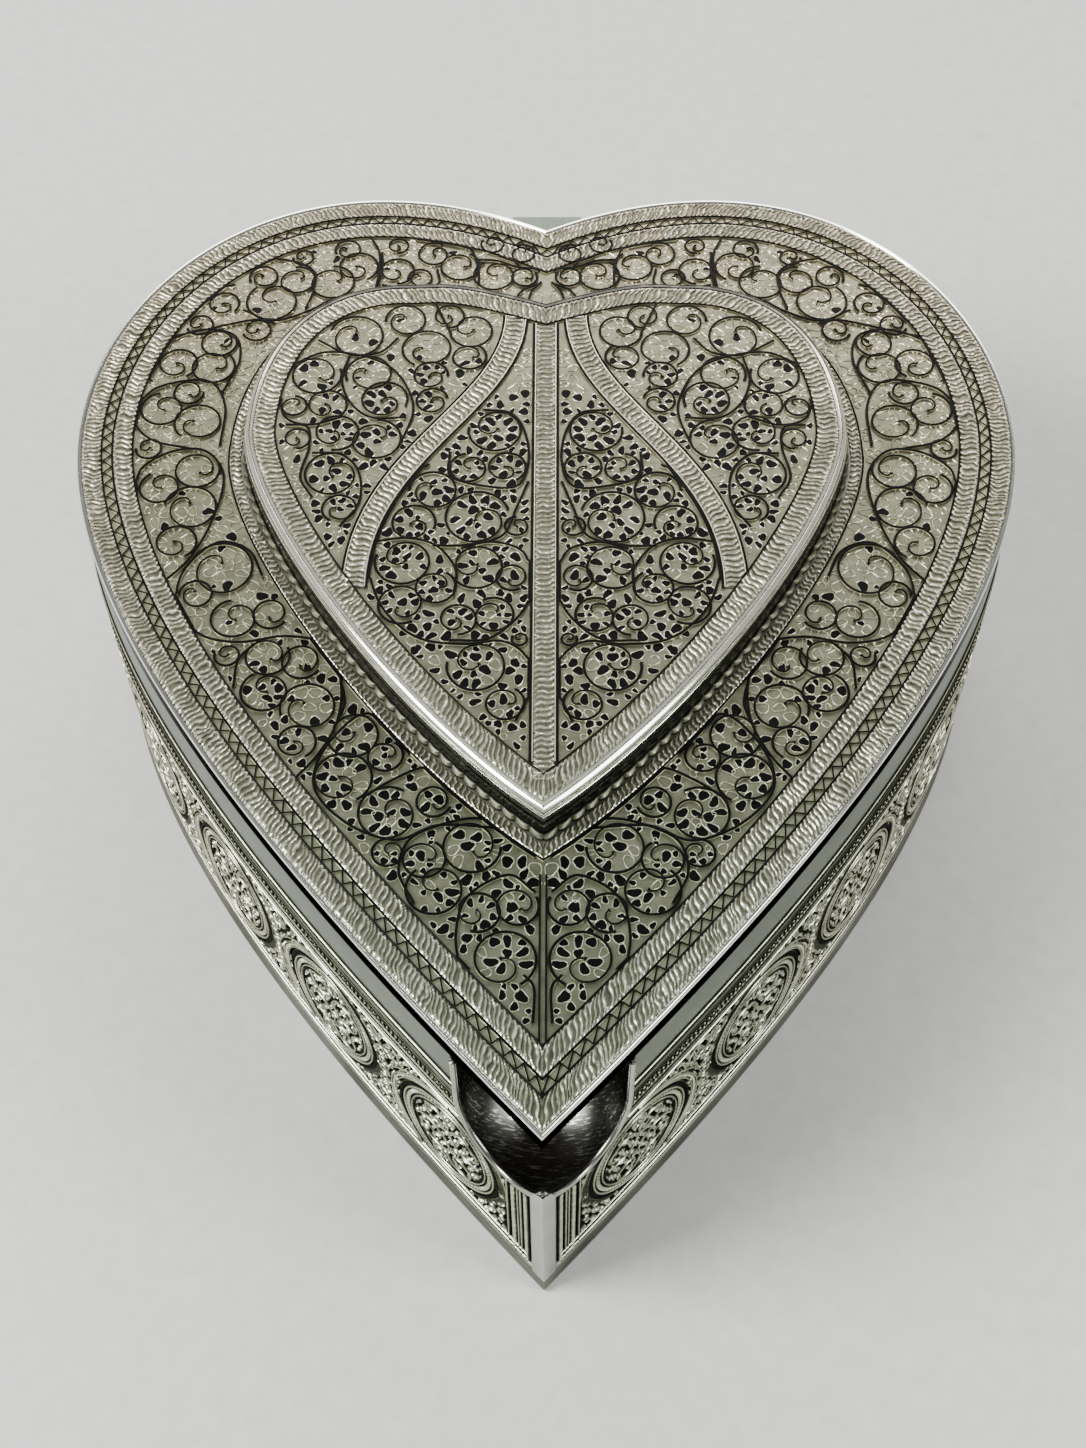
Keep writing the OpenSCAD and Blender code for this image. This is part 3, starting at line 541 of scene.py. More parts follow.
def fill_parts():
    """Fine filling of a side panel: small crinkled rings of wire packed into every space, and
    grains of silver on their joints."""
    rng = np.random.default_rng(11)
    seed_s, seed_z = np.meshgrid(np.arange(8.6, side_length - 2, 1.85), np.arange(9.3, 37.8, 1.7))
    seed_s = seed_s + 0.92 * (np.arange(seed_s.shape[0]) % 2)[:, None]
    s0 = seed_s.ravel() + rng.uniform(-0.3, 0.3, seed_s.size)
    z0 = seed_z.ravel() + rng.uniform(-0.3, 0.3, seed_s.size)
    offset = s0[:, None] - medallions[None, :] + LEAN * (z0[:, None] - MID_Z)
    oval_reach = np.hypot(offset / 10.9, (z0[:, None] - MID_Z) / 13.9)
    keep = ((oval_reach < 0.72) | (oval_reach > 1.06)).all(1)
    s0, z0 = s0[keep], z0[keep]
    w = np.linspace(0, 2 * math.pi, 9, endpoint=False)[None, :]
    turn = rng.uniform(0, math.pi, len(s0))[:, None]
    size = rng.uniform(0.42, 0.74, len(s0))[:, None]
    x, y = size * np.cos(w), 0.62 * size * np.sin(w)
    rings = np.stack([s0[:, None] + x * np.cos(turn) - y * np.sin(turn),
                      z0[:, None] + x * np.sin(turn) + y * np.cos(turn)], -1)
    loops = lay_wire(rings, 0.13, 0.42, THIN_WIRE, closed=True)
    pick = rng.random(len(s0)) < 0.4
    at = np.stack([s0[pick] + rng.uniform(-0.8, 0.8, pick.sum()),
                   z0[pick] + rng.uniform(-0.8, 0.8, pick.sum())], -1)
    w = np.linspace(0, 2 * math.pi, 6, endpoint=False)
    ring = np.array([1.0, 0.7, 0.05])
    radius = rng.uniform(0.2, 0.36, len(at))[:, None, None]
    x = at[:, 0, None, None] + radius * ring[None, :, None] * np.cos(w)
    y = at[:, 1, None, None] + radius * ring[None, :, None] * np.sin(w)
    up = 0.3 + radius * np.sqrt(1 - 0.98 * ring**2)[None, :, None] * 0.7 + 0 * x
    up[:, 0] = 0.02
    points = np.stack([x, y, up], -1).reshape(-1, 3)
    faces = copies(grid_faces(3, 6, wrap_cols=True), len(at), 18)
    tone = np.broadcast_to(np.array([0.1, 0.85, 1.0])[None, :, None], up.shape).ravel()
    return join([loops, (points, faces, tone)])


def below_scoop(points, faces):
    """Faces without those that would stand in the scoop's opening."""
    reach = from_scoop(points)
    bad = points[:, 2] > np.where(reach < SCOOP_R + 0.4, scoop_z(reach - 0.4) - 0.5, 1e3)
    return faces[~bad[faces].any(1)]


def on_side(part, side):
    """A part laid out flat, carried on to one side of the box, less what meets the scoop."""
    flat, faces, tone = part
    points = on_wall(flat, side)
    faces = below_scoop(points, faces)
    return points, faces if side > 0 else faces[:, ::-1], tone


def ground_sheet(lift):
    """Dark sheet behind one panel, laid out flat, standing out by lift."""
    s, z = np.meshgrid(np.linspace(2.8, side_length - 0.2, 500),
                       np.linspace(PANEL_LOW, PANEL_TOP, 24), indexing="ij")
    flat = np.column_stack([s.ravel(), z.ravel(), np.full(s.size, lift)])
    return flat, grid_faces(500, 24)[:, ::-1], np.full(s.size, 0.16)


panel, filling, ground = panel_parts(), fill_parts(), ground_sheet(0.05)
# the side panels, their filling and the beaded wires take the darker copy of the scrollwork's
# colours: painted shade
for side, word in SIDES:
    make("side_wirework_" + word, join([on_side(panel, side), on_side(ground, side)]),
         side_silver_painted_shade, "box", ["side_filigree_" + word])
    make("side_filling_" + word, on_side(filling, side), side_silver_painted_shade, "box")

# ---------------------------------------------------------------------------------------------
# Beaded wires above the panels
# Two rows of beaded wire between plain, blackened and bright wires, soldered round the walls
# above the panels and on the polished band.
# ---------------------------------------------------------------------------------------------

def beads(s0, s1, pitch, z, radius, height):
    """Row of half-round beads: each a small dome on a 7 x 4 grid, height falling as the square
    root of what is left of its radius."""
    s = np.arange(s0, s1, pitch)
    w = np.linspace(0, 2 * math.pi, 7, endpoint=False)
    ring = np.array([1.0, 0.8, 0.45, 0.0])
    x = s[:, None, None] + radius * ring[None, :, None] * np.cos(w)
    y = z + radius * ring[None, :, None] * np.sin(w) + 0 * s[:, None, None]
    up = height * np.sqrt(1 - ring**2)[None, :, None] + 0 * x
    points = np.stack([x, y, up], -1).reshape(-1, 3)
    faces = copies(grid_faces(4, 7, wrap_cols=True), len(s), 28)
    tone = np.broadcast_to(np.array([0.05, 0.55, 0.9, 1.0])[None, :, None], up.shape)
    return points, faces, tone.ravel()


bead_span = (WIRE_START, side_length - 0.6)
bead_parts = [beads(*bead_span, 0.9, 41.4, 0.36, 0.45), beads(*bead_span, 1.02, 42.75, 0.33, 0.42)]
for z, half, tall, section in ((39.3, 0.2, 0.45, RIBBON), (40.2, 0.3, 0.45, BLACK_WIRE),
                               (43.7, 0.12, 0.3, BLACK_WIRE), (47.3, 0.3, 0.42, BLACK_WIRE),
                               (46.6, 0.16, 0.35, RIBBON), (48.2, 0.14, 0.35, BRIGHT_WIRE)):
    line = np.stack([np.linspace(*bead_span, 440), np.full(440, z)], -1)
    bead_parts.append(lay_wire([line], half, tall, section))
for side, word in SIDES:
    make("bead_wires_" + word + "_laid", on_side(join(bead_parts), side), side_silver_painted_shade, "box",
         ["bead_wires_" + word])

# ---------------------------------------------------------------------------------------------
# Strip over the front corner
# A plain polished strip folded over the seam of the two walls, filed flat and cut off along the
# scoop's edge.
# ---------------------------------------------------------------------------------------------
corner_points = []
for o in (0.02, 0.8):
    right = heart_path(OUTER, o, 3000)[0]
    near = right[right[:, 1] < TIP_Y + 6]
    reach = np.linalg.norm(near - near[-1], axis=1)
    pick = [np.argmin(np.abs(reach - d)) for d in (2.75, 2.6, 1.6, 0.5, 0.12)]
    half = near[pick]
    corner_points.append(np.concatenate([half, near[-1:], (half * [-1, 1])[::-1]]))
inner_line, outer_line = corner_points
outer_line[[0, -1]] = inner_line[[0, -1]]
section = np.concatenate([outer_line, inner_line[::-1]])
strip_top = scoop_z(np.minimum(from_scoop(section), SCOOP_R - 0.1)) - 0.15
STRIP_ROWS = 60
points = np.stack([np.column_stack([section, PANEL_LOW + (strip_top - PANEL_LOW) * k])
                   for k in np.linspace(0, 1, STRIP_ROWS)])
caps = np.array([[k, k + 1, len(section) - 2 - k, len(section) - 1 - k]
                 for k in range(len(section) // 2 - 1)])
faces = np.concatenate([grid_faces(STRIP_ROWS, len(section), wrap_cols=True), caps,
                        (caps + (STRIP_ROWS - 1) * len(section))[:, ::-1]])
corner_silver = polished("sterling_silver_bright", "#bcbdb2", "#95978b", 0.22, 0.06)
make("corner_strip_folded", (points, faces), corner_silver, "box",
     ["corner_strip"])

# ---------------------------------------------------------------------------------------------
# Thumb scoop
# A bowl raised from thin silver sheet and soldered behind the opening in the corner; it is
# polished, with fine scratches, and its rim is a bright rolled wire. The bowl's silver is given a
# darker colour and a dim tint at a slant: painted dark reflection.
# ---------------------------------------------------------------------------------------------
scoop_silver_painted_dark, tree, shader, coords = blank("sterling_silver_mirror_painted_dark")
scratch = node(tree, "Mapping", {"Rotation": (0.5, 0.2, 0.6), "Scale": (0.25, 2.4, 0.6)},
               Vector=(coords, "Object"))
hair = node(tree, "TexNoise", {"Scale": 1500.0, "Detail": 2.0}, Vector=(scratch, "Vector"))
line = node(tree, "ValToRGB", {"stops": [(0.58, "#6c6e68"), (0.63, "#d6d7cd")]},
            Fac=(hair, "Fac"))
smear = node(tree, "TexNoise", {"Scale": 140.0, "Detail": 4.0}, Vector=(coords, "Object"))
dull = node(tree, "MapRange", {"To Min": 0.14, "To Max": 0.4}, Value=(smear, "Fac"))
fit(tree, shader, {"Metallic": 1.0, "Specular Tint": linear("#8a8a83")},
    Base_Color=(line, "Color"), Roughness=(dull, "Result"))

# The bowl's edge as seen from above: the scoop's own radius, or the wall where that is nearer
turn = np.linspace(0, 2 * math.pi, 481)[:-1]
half_tip = math.radians(OUTER[11])
normal = np.array([math.cos(half_tip), -math.sin(half_tip)])
toward = np.maximum(np.abs(np.cos(turn)) * normal[0] + np.sin(turn) * normal[1], 1e-6)
wall_gap = (SCOOP_BACK * math.sin(half_tip) - 0.02) / toward
edge = np.minimum(SCOOP_R - 0.02, wall_gap)
rings = np.linspace(0, 1, 20)**0.8
reach = edge[None, :] * rings[:, None]
z = scoop_z(np.minimum(reach, SCOOP_R - 0.02)) + 0.06
bowl = np.stack([reach * np.cos(turn), TIP_Y + SCOOP_BACK + reach * np.sin(turn), z], -1)
rise = np.where(edge > SCOOP_R - 0.1, 1.0, 0.0)
upright = []
for k in (0.1, 0.4, 0.7, 1.0):
    level = bowl[-1].copy()
    level[:, 2] += (WALL_TOP - level[:, 2]) * k * rise
    upright.append(level)
bowl = np.concatenate([bowl, np.stack(upright)])
faces = grid_faces(len(bowl), len(turn), wrap_cols=True)
scoop = make("thumb_scoop_bowl", (bowl, faces), scoop_silver_painted_dark, "box",
             ["thumb_scoop"], up=True, sharp=40)
wall = scoop.modifiers.new("thickness", "SOLIDIFY")
wall.thickness = 0.0005
wall.offset = -1

# Rolled rim along the cut: up one wall's edge, down round the corner and up the other's
near = from_scoop(side_line) < SCOOP_R
scoop_s = side_length * (1 - np.nonzero(near)[0][0] / (SIDE_COUNT - 1))
near_corner = scoop_s * (1 - (1 - np.linspace(0, 1, 240))**2)[::-1]
line = on_wall(np.column_stack([near_corner, np.zeros(240), np.full(240, 0.15)]), 1)
line[:, 2] = scoop_z(np.minimum(from_scoop(line), SCOOP_R - 0.0005))
stem = np.repeat(line[:1], 26, axis=0)
stem[:, 2] = np.linspace(WALL_TOP - 0.35, line[0, 2] + 0.4, 26)
half = np.concatenate([stem, line])
half[-1, 0] = 0
rim_path = np.concatenate([half, (half * [-1, 1, 1])[::-1][1:]])
# spread evenly, then softened where it turns by averaging over some 2 mm
rim_path = respaced(rim_path, 520)[0]
window = np.hanning(13)
window /= window.sum()
padded = np.concatenate([2 * rim_path[:1] - rim_path[6:0:-1], rim_path,
                         2 * rim_path[-1:] - rim_path[-2:-8:-1]])
rim_path = np.stack([np.convolve(padded[:, c], window, "valid") for c in range(3)], 1)


def tube(path, radius, sides=12):
    """Round wire along a path in space: rings square to the path, each set with one side level,
    across the upright, and across a fixed level direction where the path runs nearly upright;
    closed at both ends by a ring of no width."""
    way = np.gradient(path, axis=0)
    way /= np.linalg.norm(way, axis=1, keepdims=True)
    up = np.array([0, 0, 1.0]) + 0 * way
    first = np.cross(way, up)
    weak = np.linalg.norm(first, axis=1, keepdims=True) < 0.2
    first = np.where(weak, np.cross(way, [1.0, 0.3, 0]), first)
    first /= np.linalg.norm(first, axis=1, keepdims=True)
    second = np.cross(way, first)
    w = np.linspace(0, 2 * math.pi, sides, endpoint=False)
    r = np.broadcast_to(radius, len(path)).copy()
    r[[0, -1]] = 1e-4
    ring = first[:, None] * np.cos(w)[None, :, None] + second[:, None] * np.sin(w)[None, :, None]
    points = path[:, None] + ring * r[:, None, None]
    return points.reshape(-1, 3), grid_faces(len(path), sides, wrap_cols=True)


make("thumb_scoop_rim", tube(rim_path, 0.5), corner_silver, "box")

# ---------------------------------------------------------------------------------------------
# Inner bezel and velvet lining
# A polished silver ring that the lid drops over, and wine-red cotton velvet glued to card inside
# the walls and on the floor; cut pile about 1 mm long.
# ---------------------------------------------------------------------------------------------
BEZEL_TOP = 58.3
make("inner_bezel_ring", wall_shell(-1.5, -2.5, 12.5, BEZEL_TOP, 900, 0.9), plain_silver, "box",
     ["inner_bezel_left", "inner_bezel_right"])

velvet, tree, shader, coords = blank("wine_cotton_velvet")
nap = node(tree, "TexNoise", {"Scale": 60.0, "Detail": 3.0}, Vector=(coords, "Object"))
pile = node(tree, "TexNoise", {"Scale": 2600.0, "Detail": 2.0}, Vector=(coords, "Object"))
shade = node(tree, "ValToRGB", {"stops": [(0.3, "#3d0a18"), (0.7, "#6d1a2f")]}, Fac=(nap, "Fac"))
bump = node(tree, "Bump", {"Strength": 0.6, "Distance": 0.0003}, Height=(pile, "Fac"))
fit(tree, shader, {"Roughness": 0.95, "Sheen Weight": 0.7, "Sheen Roughness": 0.4,
                   "Sheen Tint": linear("#d0607a")},
    Base_Color=(shade, "Color"), Normal=(bump, "Normal"))

profile = [(-2.55, 12.6), (-2.55, 54.7), (-2.8, 55.2), (-3.3, 55.3), (-3.62, 55.0), (-3.7, 54.5),
           (-3.7, 12.6)]
loops = [heart_loop(OUTER, o, 420) for o, _ in profile]
points = np.stack([np.column_stack([l, np.where(from_scoop(l) < SCOOP_R + 1.3, min(z, 28.0), z)])
                   for l, (_, z) in zip(loops, profile)], 1)
faces = grid_faces(points.shape[0], points.shape[1], True, True)
make("velvet_wall_lining", (points, faces), velvet, "box", ["lining_wall"])

# Facing on the inside of the lid: velvet round the mirror, on card
profile = [(-4.0, 59.15), (-4.0, 58.3), (-4.4, 58.02), (-16.4, 58.02), (-16.4, 59.15)]
make("velvet_lid_facing", sweep_heart(OUTER, profile), velvet, "lid", ["lid_lining"])

# ---------------------------------------------------------------------------------------------
# Side of the lid
# A strip of sterling silver, raised square and polished like a mirror, with a rounded bright upper
# edge. Its colour and the tint of its reflection are painted near-black: a painted dark reflection.
# ---------------------------------------------------------------------------------------------
lid_side_painted_dark = polished("sterling_silver_painted_dark_reflection", "#2a2b28", "#0d0d0c", 0.14, 0.04,
                           "#1c1c1a")
profile = [(0, 57.5), (0, 57.62), (0, 60.3), (-0.1, 60.42), (-1, 60.42), (-1, 57.5)]
make("lid_side_strip", sweep_heart(OUTER, profile, 900), lid_side_painted_dark, "lid",
     ["lid_side_left", "lid_side_right"])
profile = [(-0.02, 60.2), (-0.02, 60.5), (-0.12, 60.78), (-0.35, 60.97), (-0.6, 60.97),
           (-0.82, 60.8), (-0.9, 60.4), (-0.5, 60.2)]
edge_silver = polished("sterling_silver_mirror_edge", "#f0f0e8", "#d9d9cf", 0.12, 0.04)
make("lid_edge_wire", sweep_heart(OUTER, profile, 900), edge_silver, "lid")

# ---------------------------------------------------------------------------------------------
# Twisted bands of the lid
# Pairs of fine silver wires, twisted together, rolled flat to 3.3 mm and soldered side by side:
# slanting S-shaped ridges about a millimetre apart, crushed and broken here and there, standing
# higher along the band's outer edge.
# ---------------------------------------------------------------------------------------------
twist_silver = wirework("oxidised_silver_twisted_wire", [
    (0.0, "#12120e"), (0.2, "#3c3c33"), (0.42, "#7a796d"), (0.65, "#b1afa3"), (0.95, "#ffffff")],
    0.36, 0.03)


def ridges(s, v, pitch, slant, bend, rough, seed):
    """Height and tone, both 0 to 1, at distance s along a twisted band and v across it: a cosine
    ridge sharpened by its fifth power, whose phase leans by slant and sways by bend in an S,
    shaken by smooth noise; a second, weaker set leans the other way where the wire was crushed."""
    shake = value_noise(s / 1.9, v * 1.8, seed) - 0.5
    wave = slant * (v - 0.5) + 2 * bend * np.sin(2 * math.pi * v)
    phase = s / pitch + wave + 1.25 * rough * shake
    ridge = (0.5 + 0.5 * np.cos(2 * math.pi * phase))**5
    crossed = (0.5 + 0.5 * np.cos(2 * math.pi * (s / pitch - wave + 0.9 * rough * shake)))**7
    spread = smooth((value_noise(s / 1.3, v * 2.2, seed + 4) - 0.45) * 3)
    crush = smooth((value_noise(s / 0.5, v * 3.4, seed + 1) - 0.1) * 2.4)
    grain = value_noise(s / 0.2, v * 13, seed + 2)
    # the tone darkens along one side of each ridge into a thin line: painted shadow
    shadow_side = 0.5 + 0.5 * np.sin(2 * math.pi * phase)
    height = np.maximum(ridge * (0.45 + 0.55 * crush), 0.8 * crossed * spread)
    tone = 0.35 + 0.74 * height - 0.16 * shadow_side**7 * (1 - height) + 0.16 * (grain - 0.5)
    return height, tone


def twisted_band(shape, out, inner, z_low, z_top, pitch, slant, bend, rough, seed, step=0.17,
                 cols=15):
    """Closed ring of twisted wire between two offsets of a heart: rows of points across the band
    every step mm, their height from ridges(), mirrored about x = 0, with sides down to z_low."""
    offsets = np.linspace(out, inner, cols)
    length = heart_path(shape, (out + inner) / 2, 900)[1]
    count = int(length / step)
    loops = np.stack([heart_loop(shape, o, count) for o in offsets], 1)
    index = np.arange(2 * count - 2)
    s = np.where(index < count, index, 2 * count - 2 - index) * step
    side = np.where(index < count, 1.0, -1.0)
    v = np.linspace(0, 1, cols)[None, :]
    s = s[:, None] + 0 * v
    v = v + 0 * s
    height, tone = ridges(s, v, pitch, slant, bend, rough, seed)
    dots = (0.5 + 0.5 * np.cos(2 * math.pi * (s / 0.62 + 1.5 * value_noise(s / 1.7, v, seed + 3))))
    lip = smooth((0.2 - v) * 6) * (0.3 + 0.7 * dots)
    height = np.maximum(height * (0.7 + 0.3 * (1 - v)), lip)
    tone = np.maximum(tone, lip * (0.75 + 0.25 * dots))
    fall = smooth(v * 9) * smooth((1 - v) * 9)
    z = z_top - 0.24 * (1 - height * (0.25 + 0.75 * fall))
    tone = tone - 0.25 * (1 - fall) * (v > 0.5)
    top = np.dstack([loops, z])
    low_a, low_b = top[:, :1].copy(), top[:, -1:].copy()
    low_a[..., 2] = low_b[..., 2] = z_low
    points = np.concatenate([low_a, top, low_b], 1)
    dark = np.full((len(index), 1), 0.1)
    tone = np.concatenate([dark, tone, dark], 1)
    return points, grid_faces(len(index), cols + 2, True, True), tone


# How far in from the outline the outer twist, the zigzag band and the inner twist end, the top of
# the lid's sheet, and the top of the twisted wires on it
BAND1 = 4.1
BAND2 = 5.8
BAND3 = 9.1
PLATE = 60.42
TWIST_TOP = 60.99
band = twisted_band(OUTER, -0.92, -BAND1 + 0.18, PLATE, TWIST_TOP, 0.86, 0.95, 0.16, 1.1, 21)
make("outer_twist", band, twist_silver, "lid", ["outer_twist_band"])
band = twisted_band(OUTER, -BAND2 - 0.18, -BAND3 + 0.22, PLATE, TWIST_TOP, 1.02, 1.15, 0.16, 0.75,
                    31)
make("inner_twist", band, twist_silver, "lid", ["inner_twist_band"])
band = twisted_band(RISE, 2.85, 1.1, PLATE, TWIST_TOP, 0.98, 0.75, 0.13, 0.7, 41)
make("surround_twist", band, twist_silver, "lid", ["raised_surround"])

# ---------------------------------------------------------------------------------------------
# Zigzag band
# A flat strip of sheet between two blackened edge wires, with a blackened wire bent into a zigzag
# of 2.44 mm pitch laid on it.
# ---------------------------------------------------------------------------------------------
ZIGZAG_PITCH = 2.44


def heart_ribbon(shape, out, inner, z, tone, count=600, cols=3):
    """Flat ribbon between two offsets of a heart at height z, all of one tone."""
    loops = [heart_loop(shape, o, count) for o in np.linspace(out, inner, cols)]
    points = np.stack([np.column_stack([l, np.full(len(l), z)]) for l in loops], 1).reshape(-1, 3)
    return points, grid_faces(len(loops[0]), cols, True), np.full(len(points), tone)


def edge_wire(shape, offset, z, half, tall, section, count=900):
    """Wire laid round a heart at one offset, standing on height z, with the mitre at each corner
    left by the offset curves themselves."""
    section = np.array(section)
    loops = [heart_loop(shape, offset - half * across, count) for across in section[:, 0]]
    points = np.stack([np.column_stack([l, np.full(len(l), z + tall * up)])
                       for l, up in zip(loops, section[:, 1])], 1)
    tone = np.broadcast_to(section[:, 2], points.shape[:2])
    return points.reshape(-1, 3), grid_faces(len(loops[0]), len(section), True), tone.ravel()


def onto(part, z):
    """A part raised by z."""
    return part[0] + [0, 0, z], part[1], part[2]


def upward(part):
    """A part with its faces turned to look up."""
    points, faces, tone = part
    return points, facing(points, faces, True), tone


length = heart_path(OUTER, (-BAND1 - BAND2) / 2, 900)[1]
turns = int(round(length / ZIGZAG_PITCH))
STEPS = 14
inner_line = heart_path(OUTER, -BAND2 + 0.22, STEPS * turns + 1)[0]
outer_line = heart_path(OUTER, -BAND1 - 0.22, STEPS * turns + 1)[0]
k = np.arange(STEPS * turns + 1) % STEPS / STEPS
across = np.where(k < 0.5, k * 2, 2 - 2 * k)[:, None]
zig = outer_line * (1 - across) + inner_line * across
zigs = np.stack([zig, zig * [-1, 1]])
zigzag = join([
    upward(heart_ribbon(OUTER, -BAND1, -BAND2, PLATE + 0.12, 0.6)),
    upward(onto(lay_wire(zigs, 0.125, 0.3, BLACK_WIRE), PLATE + 0.12)),
    upward(edge_wire(OUTER, -BAND1 + 0.02, PLATE + 0.05, 0.17, 0.44, BLACK_WIRE)),
    upward(edge_wire(OUTER, -BAND2, PLATE + 0.05, 0.19, 0.44, BLACK_WIRE))])
make("zigzag_wires", zigzag, scroll_silver, "lid", ["zigzag_band"], up=True)

# ---------------------------------------------------------------------------------------------
# Scrollwork of the lid's field
# Blackened scroll wires of 0.4 mm on a pierced and chased sheet. Round every hole runs a fine
# bright wire; the holes are packed in rings inside each scroll and scattered between scrolls.
# ---------------------------------------------------------------------------------------------

# Left half: x, y, radius, angle where the stem joins in degrees, sense of the turn
FIELD_SCROLLS = [
    (-5.5, -64, 4.7, -60, 1), (-9, -56.5, 3, -110, 1), (-3.5, -55.5, 2.9, 30, -1),
    (-10, -46, 4.2, 0, -1), (-16.8, -48, 3, 60, -1), (-15.5, -53, 4.2, 130, 1),
    (-14.5, -37.5, 4.4, -20, -1), (-22.3, -40.5, 4.2, 60, 1), (-29, -34.8, 4.2, -60, 1),
    (-22.5, -30.5, 3.3, 60, -1), (-28, -27.5, 3.7, 200, 1), (-22, -47, 2.2, 90, 1),
    (-35.5, -14, 4.1, -30, -1), (-41.5, -13.5, 3.3, 30, -1), (-42, -20, 3.9, 120, 1),
    (-35, -22.5, 4, 200, -1), (-36.5, -29, 3.3, -60, 1), (-48, -13.5, 2.2, 170, 1),
    (-40.5, -5, 4.2, -30, -1), (-47.3, -6.5, 3.4, 100, 1), (-50, 3, 4.8, 160, -1),
    (-53.6, -2, 2.6, 180, -1), (-57.5, 8, 3.2, -60, 1), (-56, 15, 4.1, 170, -1),
    (-61.5, 19, 3.3, 120, 1), (-55.5, 22.6, 3.5, 20, -1), (-64, 27, 2.2, 180, 1),
    (-56.5, 32.5, 3.7, 230, -1), (-62.7, 35.5, 3.5, 100, 1), (-58.5, 39, 2.4, 0, -1),
    (-55, 44.7, 3.5, 45, -1), (-54.5, 50, 2.9, 20, -1), (-61.5, 45.5, 3.8, -60, 1),
    (-48.5, 52.8, 2.3, 200, 1), (-55.5, 59.7, 4.0, -40, 1), (-58.5, 54.2, 2.6, 200, 1),
    (-46.5, 59.5, 4.2, 130, 1), (-49, 66, 3.6, -160, -1), (-42.5, 64.5, 3.0, 100, -1),
    (-42.3, 70.6, 2.9, 180, 1), (-34.5, 72.7, 3.4, -150, -1), (-36.5, 64, 3.7, 90, -1),
    (-32.2, 67.5, 3.3, -60, 1), (-25.5, 73.5, 2.9, -90, 1), (-25.5, 66.5, 2.9, -90, 1),
    (-21.6, 64.9, 2.0, 180, -1), (-19.2, 71.6, 3.7, 60, 1), (-14.8, 67.8, 3.3, 60, -1),
    (-9.6, 72.2, 2.7, 150, 1), (-4.4, 70.2, 2.7, 120, -1), (-9, 65.6, 3.4, 120, 1),
    (-3.4, 65.9, 2.9, 30, -1),
]
FIELD_STEMS = [
    [(-11, -66), (-12, -60), (-10.5, -54), (-5, -50.6), (-1.2, -53.2)],
    [(-1.3, -73), (-1.2, -68), (-2.6, -66)],
    [(-0.6, -47), (-4, -43.4), (-9, -41.5), (-14, -42.3), (-19, -45), (-20.3, -50), (-18, -55)],
    [(-7, -43), (-15, -42.6), (-21, -45), (-28, -42.3), (-33, -36.5), (-32, -30), (-27, -23.9),
     (-22, -25.5), (-19.2, -30)],
    [(-8.5, -41), (-12, -35), (-17, -33), (-22, -35.2), (-25.8, -38)],
    [(-57, -4), (-52, -9.5), (-46, -10.9), (-39, -9.8), (-33, -11.5), (-30.3, -18), (-30.4, -25),
     (-33, -31), (-36.5, -35.5)],
    [(-43, -10.6), (-45.8, -14), (-46.2, -19)],
    [(-30.5, -17), (-29.5, -22), (-30.8, -26)],
    [(-53, -9), (-56.2, -3), (-55.5, 3), (-51, 8.0), (-46, 6.5), (-43.5, 1.5)],
    [(-58, 1), (-55, 5), (-52.6, 11), (-51.2, 18), (-51.7, 23), (-55, 26.7), (-60, 26.4),
     (-64.4, 23), (-65, 18.5)],
    [(-52.4, 28), (-52.3, 36), (-55, 41.2), (-60, 41.4), (-65, 39), (-66.6, 33), (-63.5, 28.8),
     (-57, 27)],
    [(-53, 39), (-50.8, 46), (-52, 51.5), (-57, 53), (-62, 51), (-65.8, 46.5), (-65, 41.5)],
    [(-62, 51.5), (-55, 53.6), (-49, 55.2), (-45.8, 54.4)],
    [(-60.5, 55), (-58.5, 61), (-53, 63.4)],
    [(-51.3, 57.5), (-46, 55), (-40.5, 57), (-36, 59.9), (-30, 60.8)],
    [(-29.3, 60.8), (-28.7, 66), (-28.8, 71), (-30.8, 75.3)],
    [(-28.7, 62), (-28.1, 67), (-28.3, 71)],
    [(-40.6, 58), (-39.6, 62), (-39.8, 66.5), (-44, 69), (-51.5, 69.8)],
    [(-28, 63.3), (-23, 62.4), (-18.5, 63.5), (-18.7, 67)],
    [(-11.5, 63), (-11.7, 67.5), (-13.2, 72), (-17, 75.4), (-22.4, 74.8)],
    [(-12, 69.3), (-8.5, 69), (-5, 67.5), (-1.2, 67)],
    [(-6.3, 74.5), (-7, 71), (-4.6, 67.6)],
    [(-3, 58.7), (-2.6, 61.5), (-0.9, 64)], [(-5.5, 59.5), (-4, 62), (-1.1, 63.6)],
]
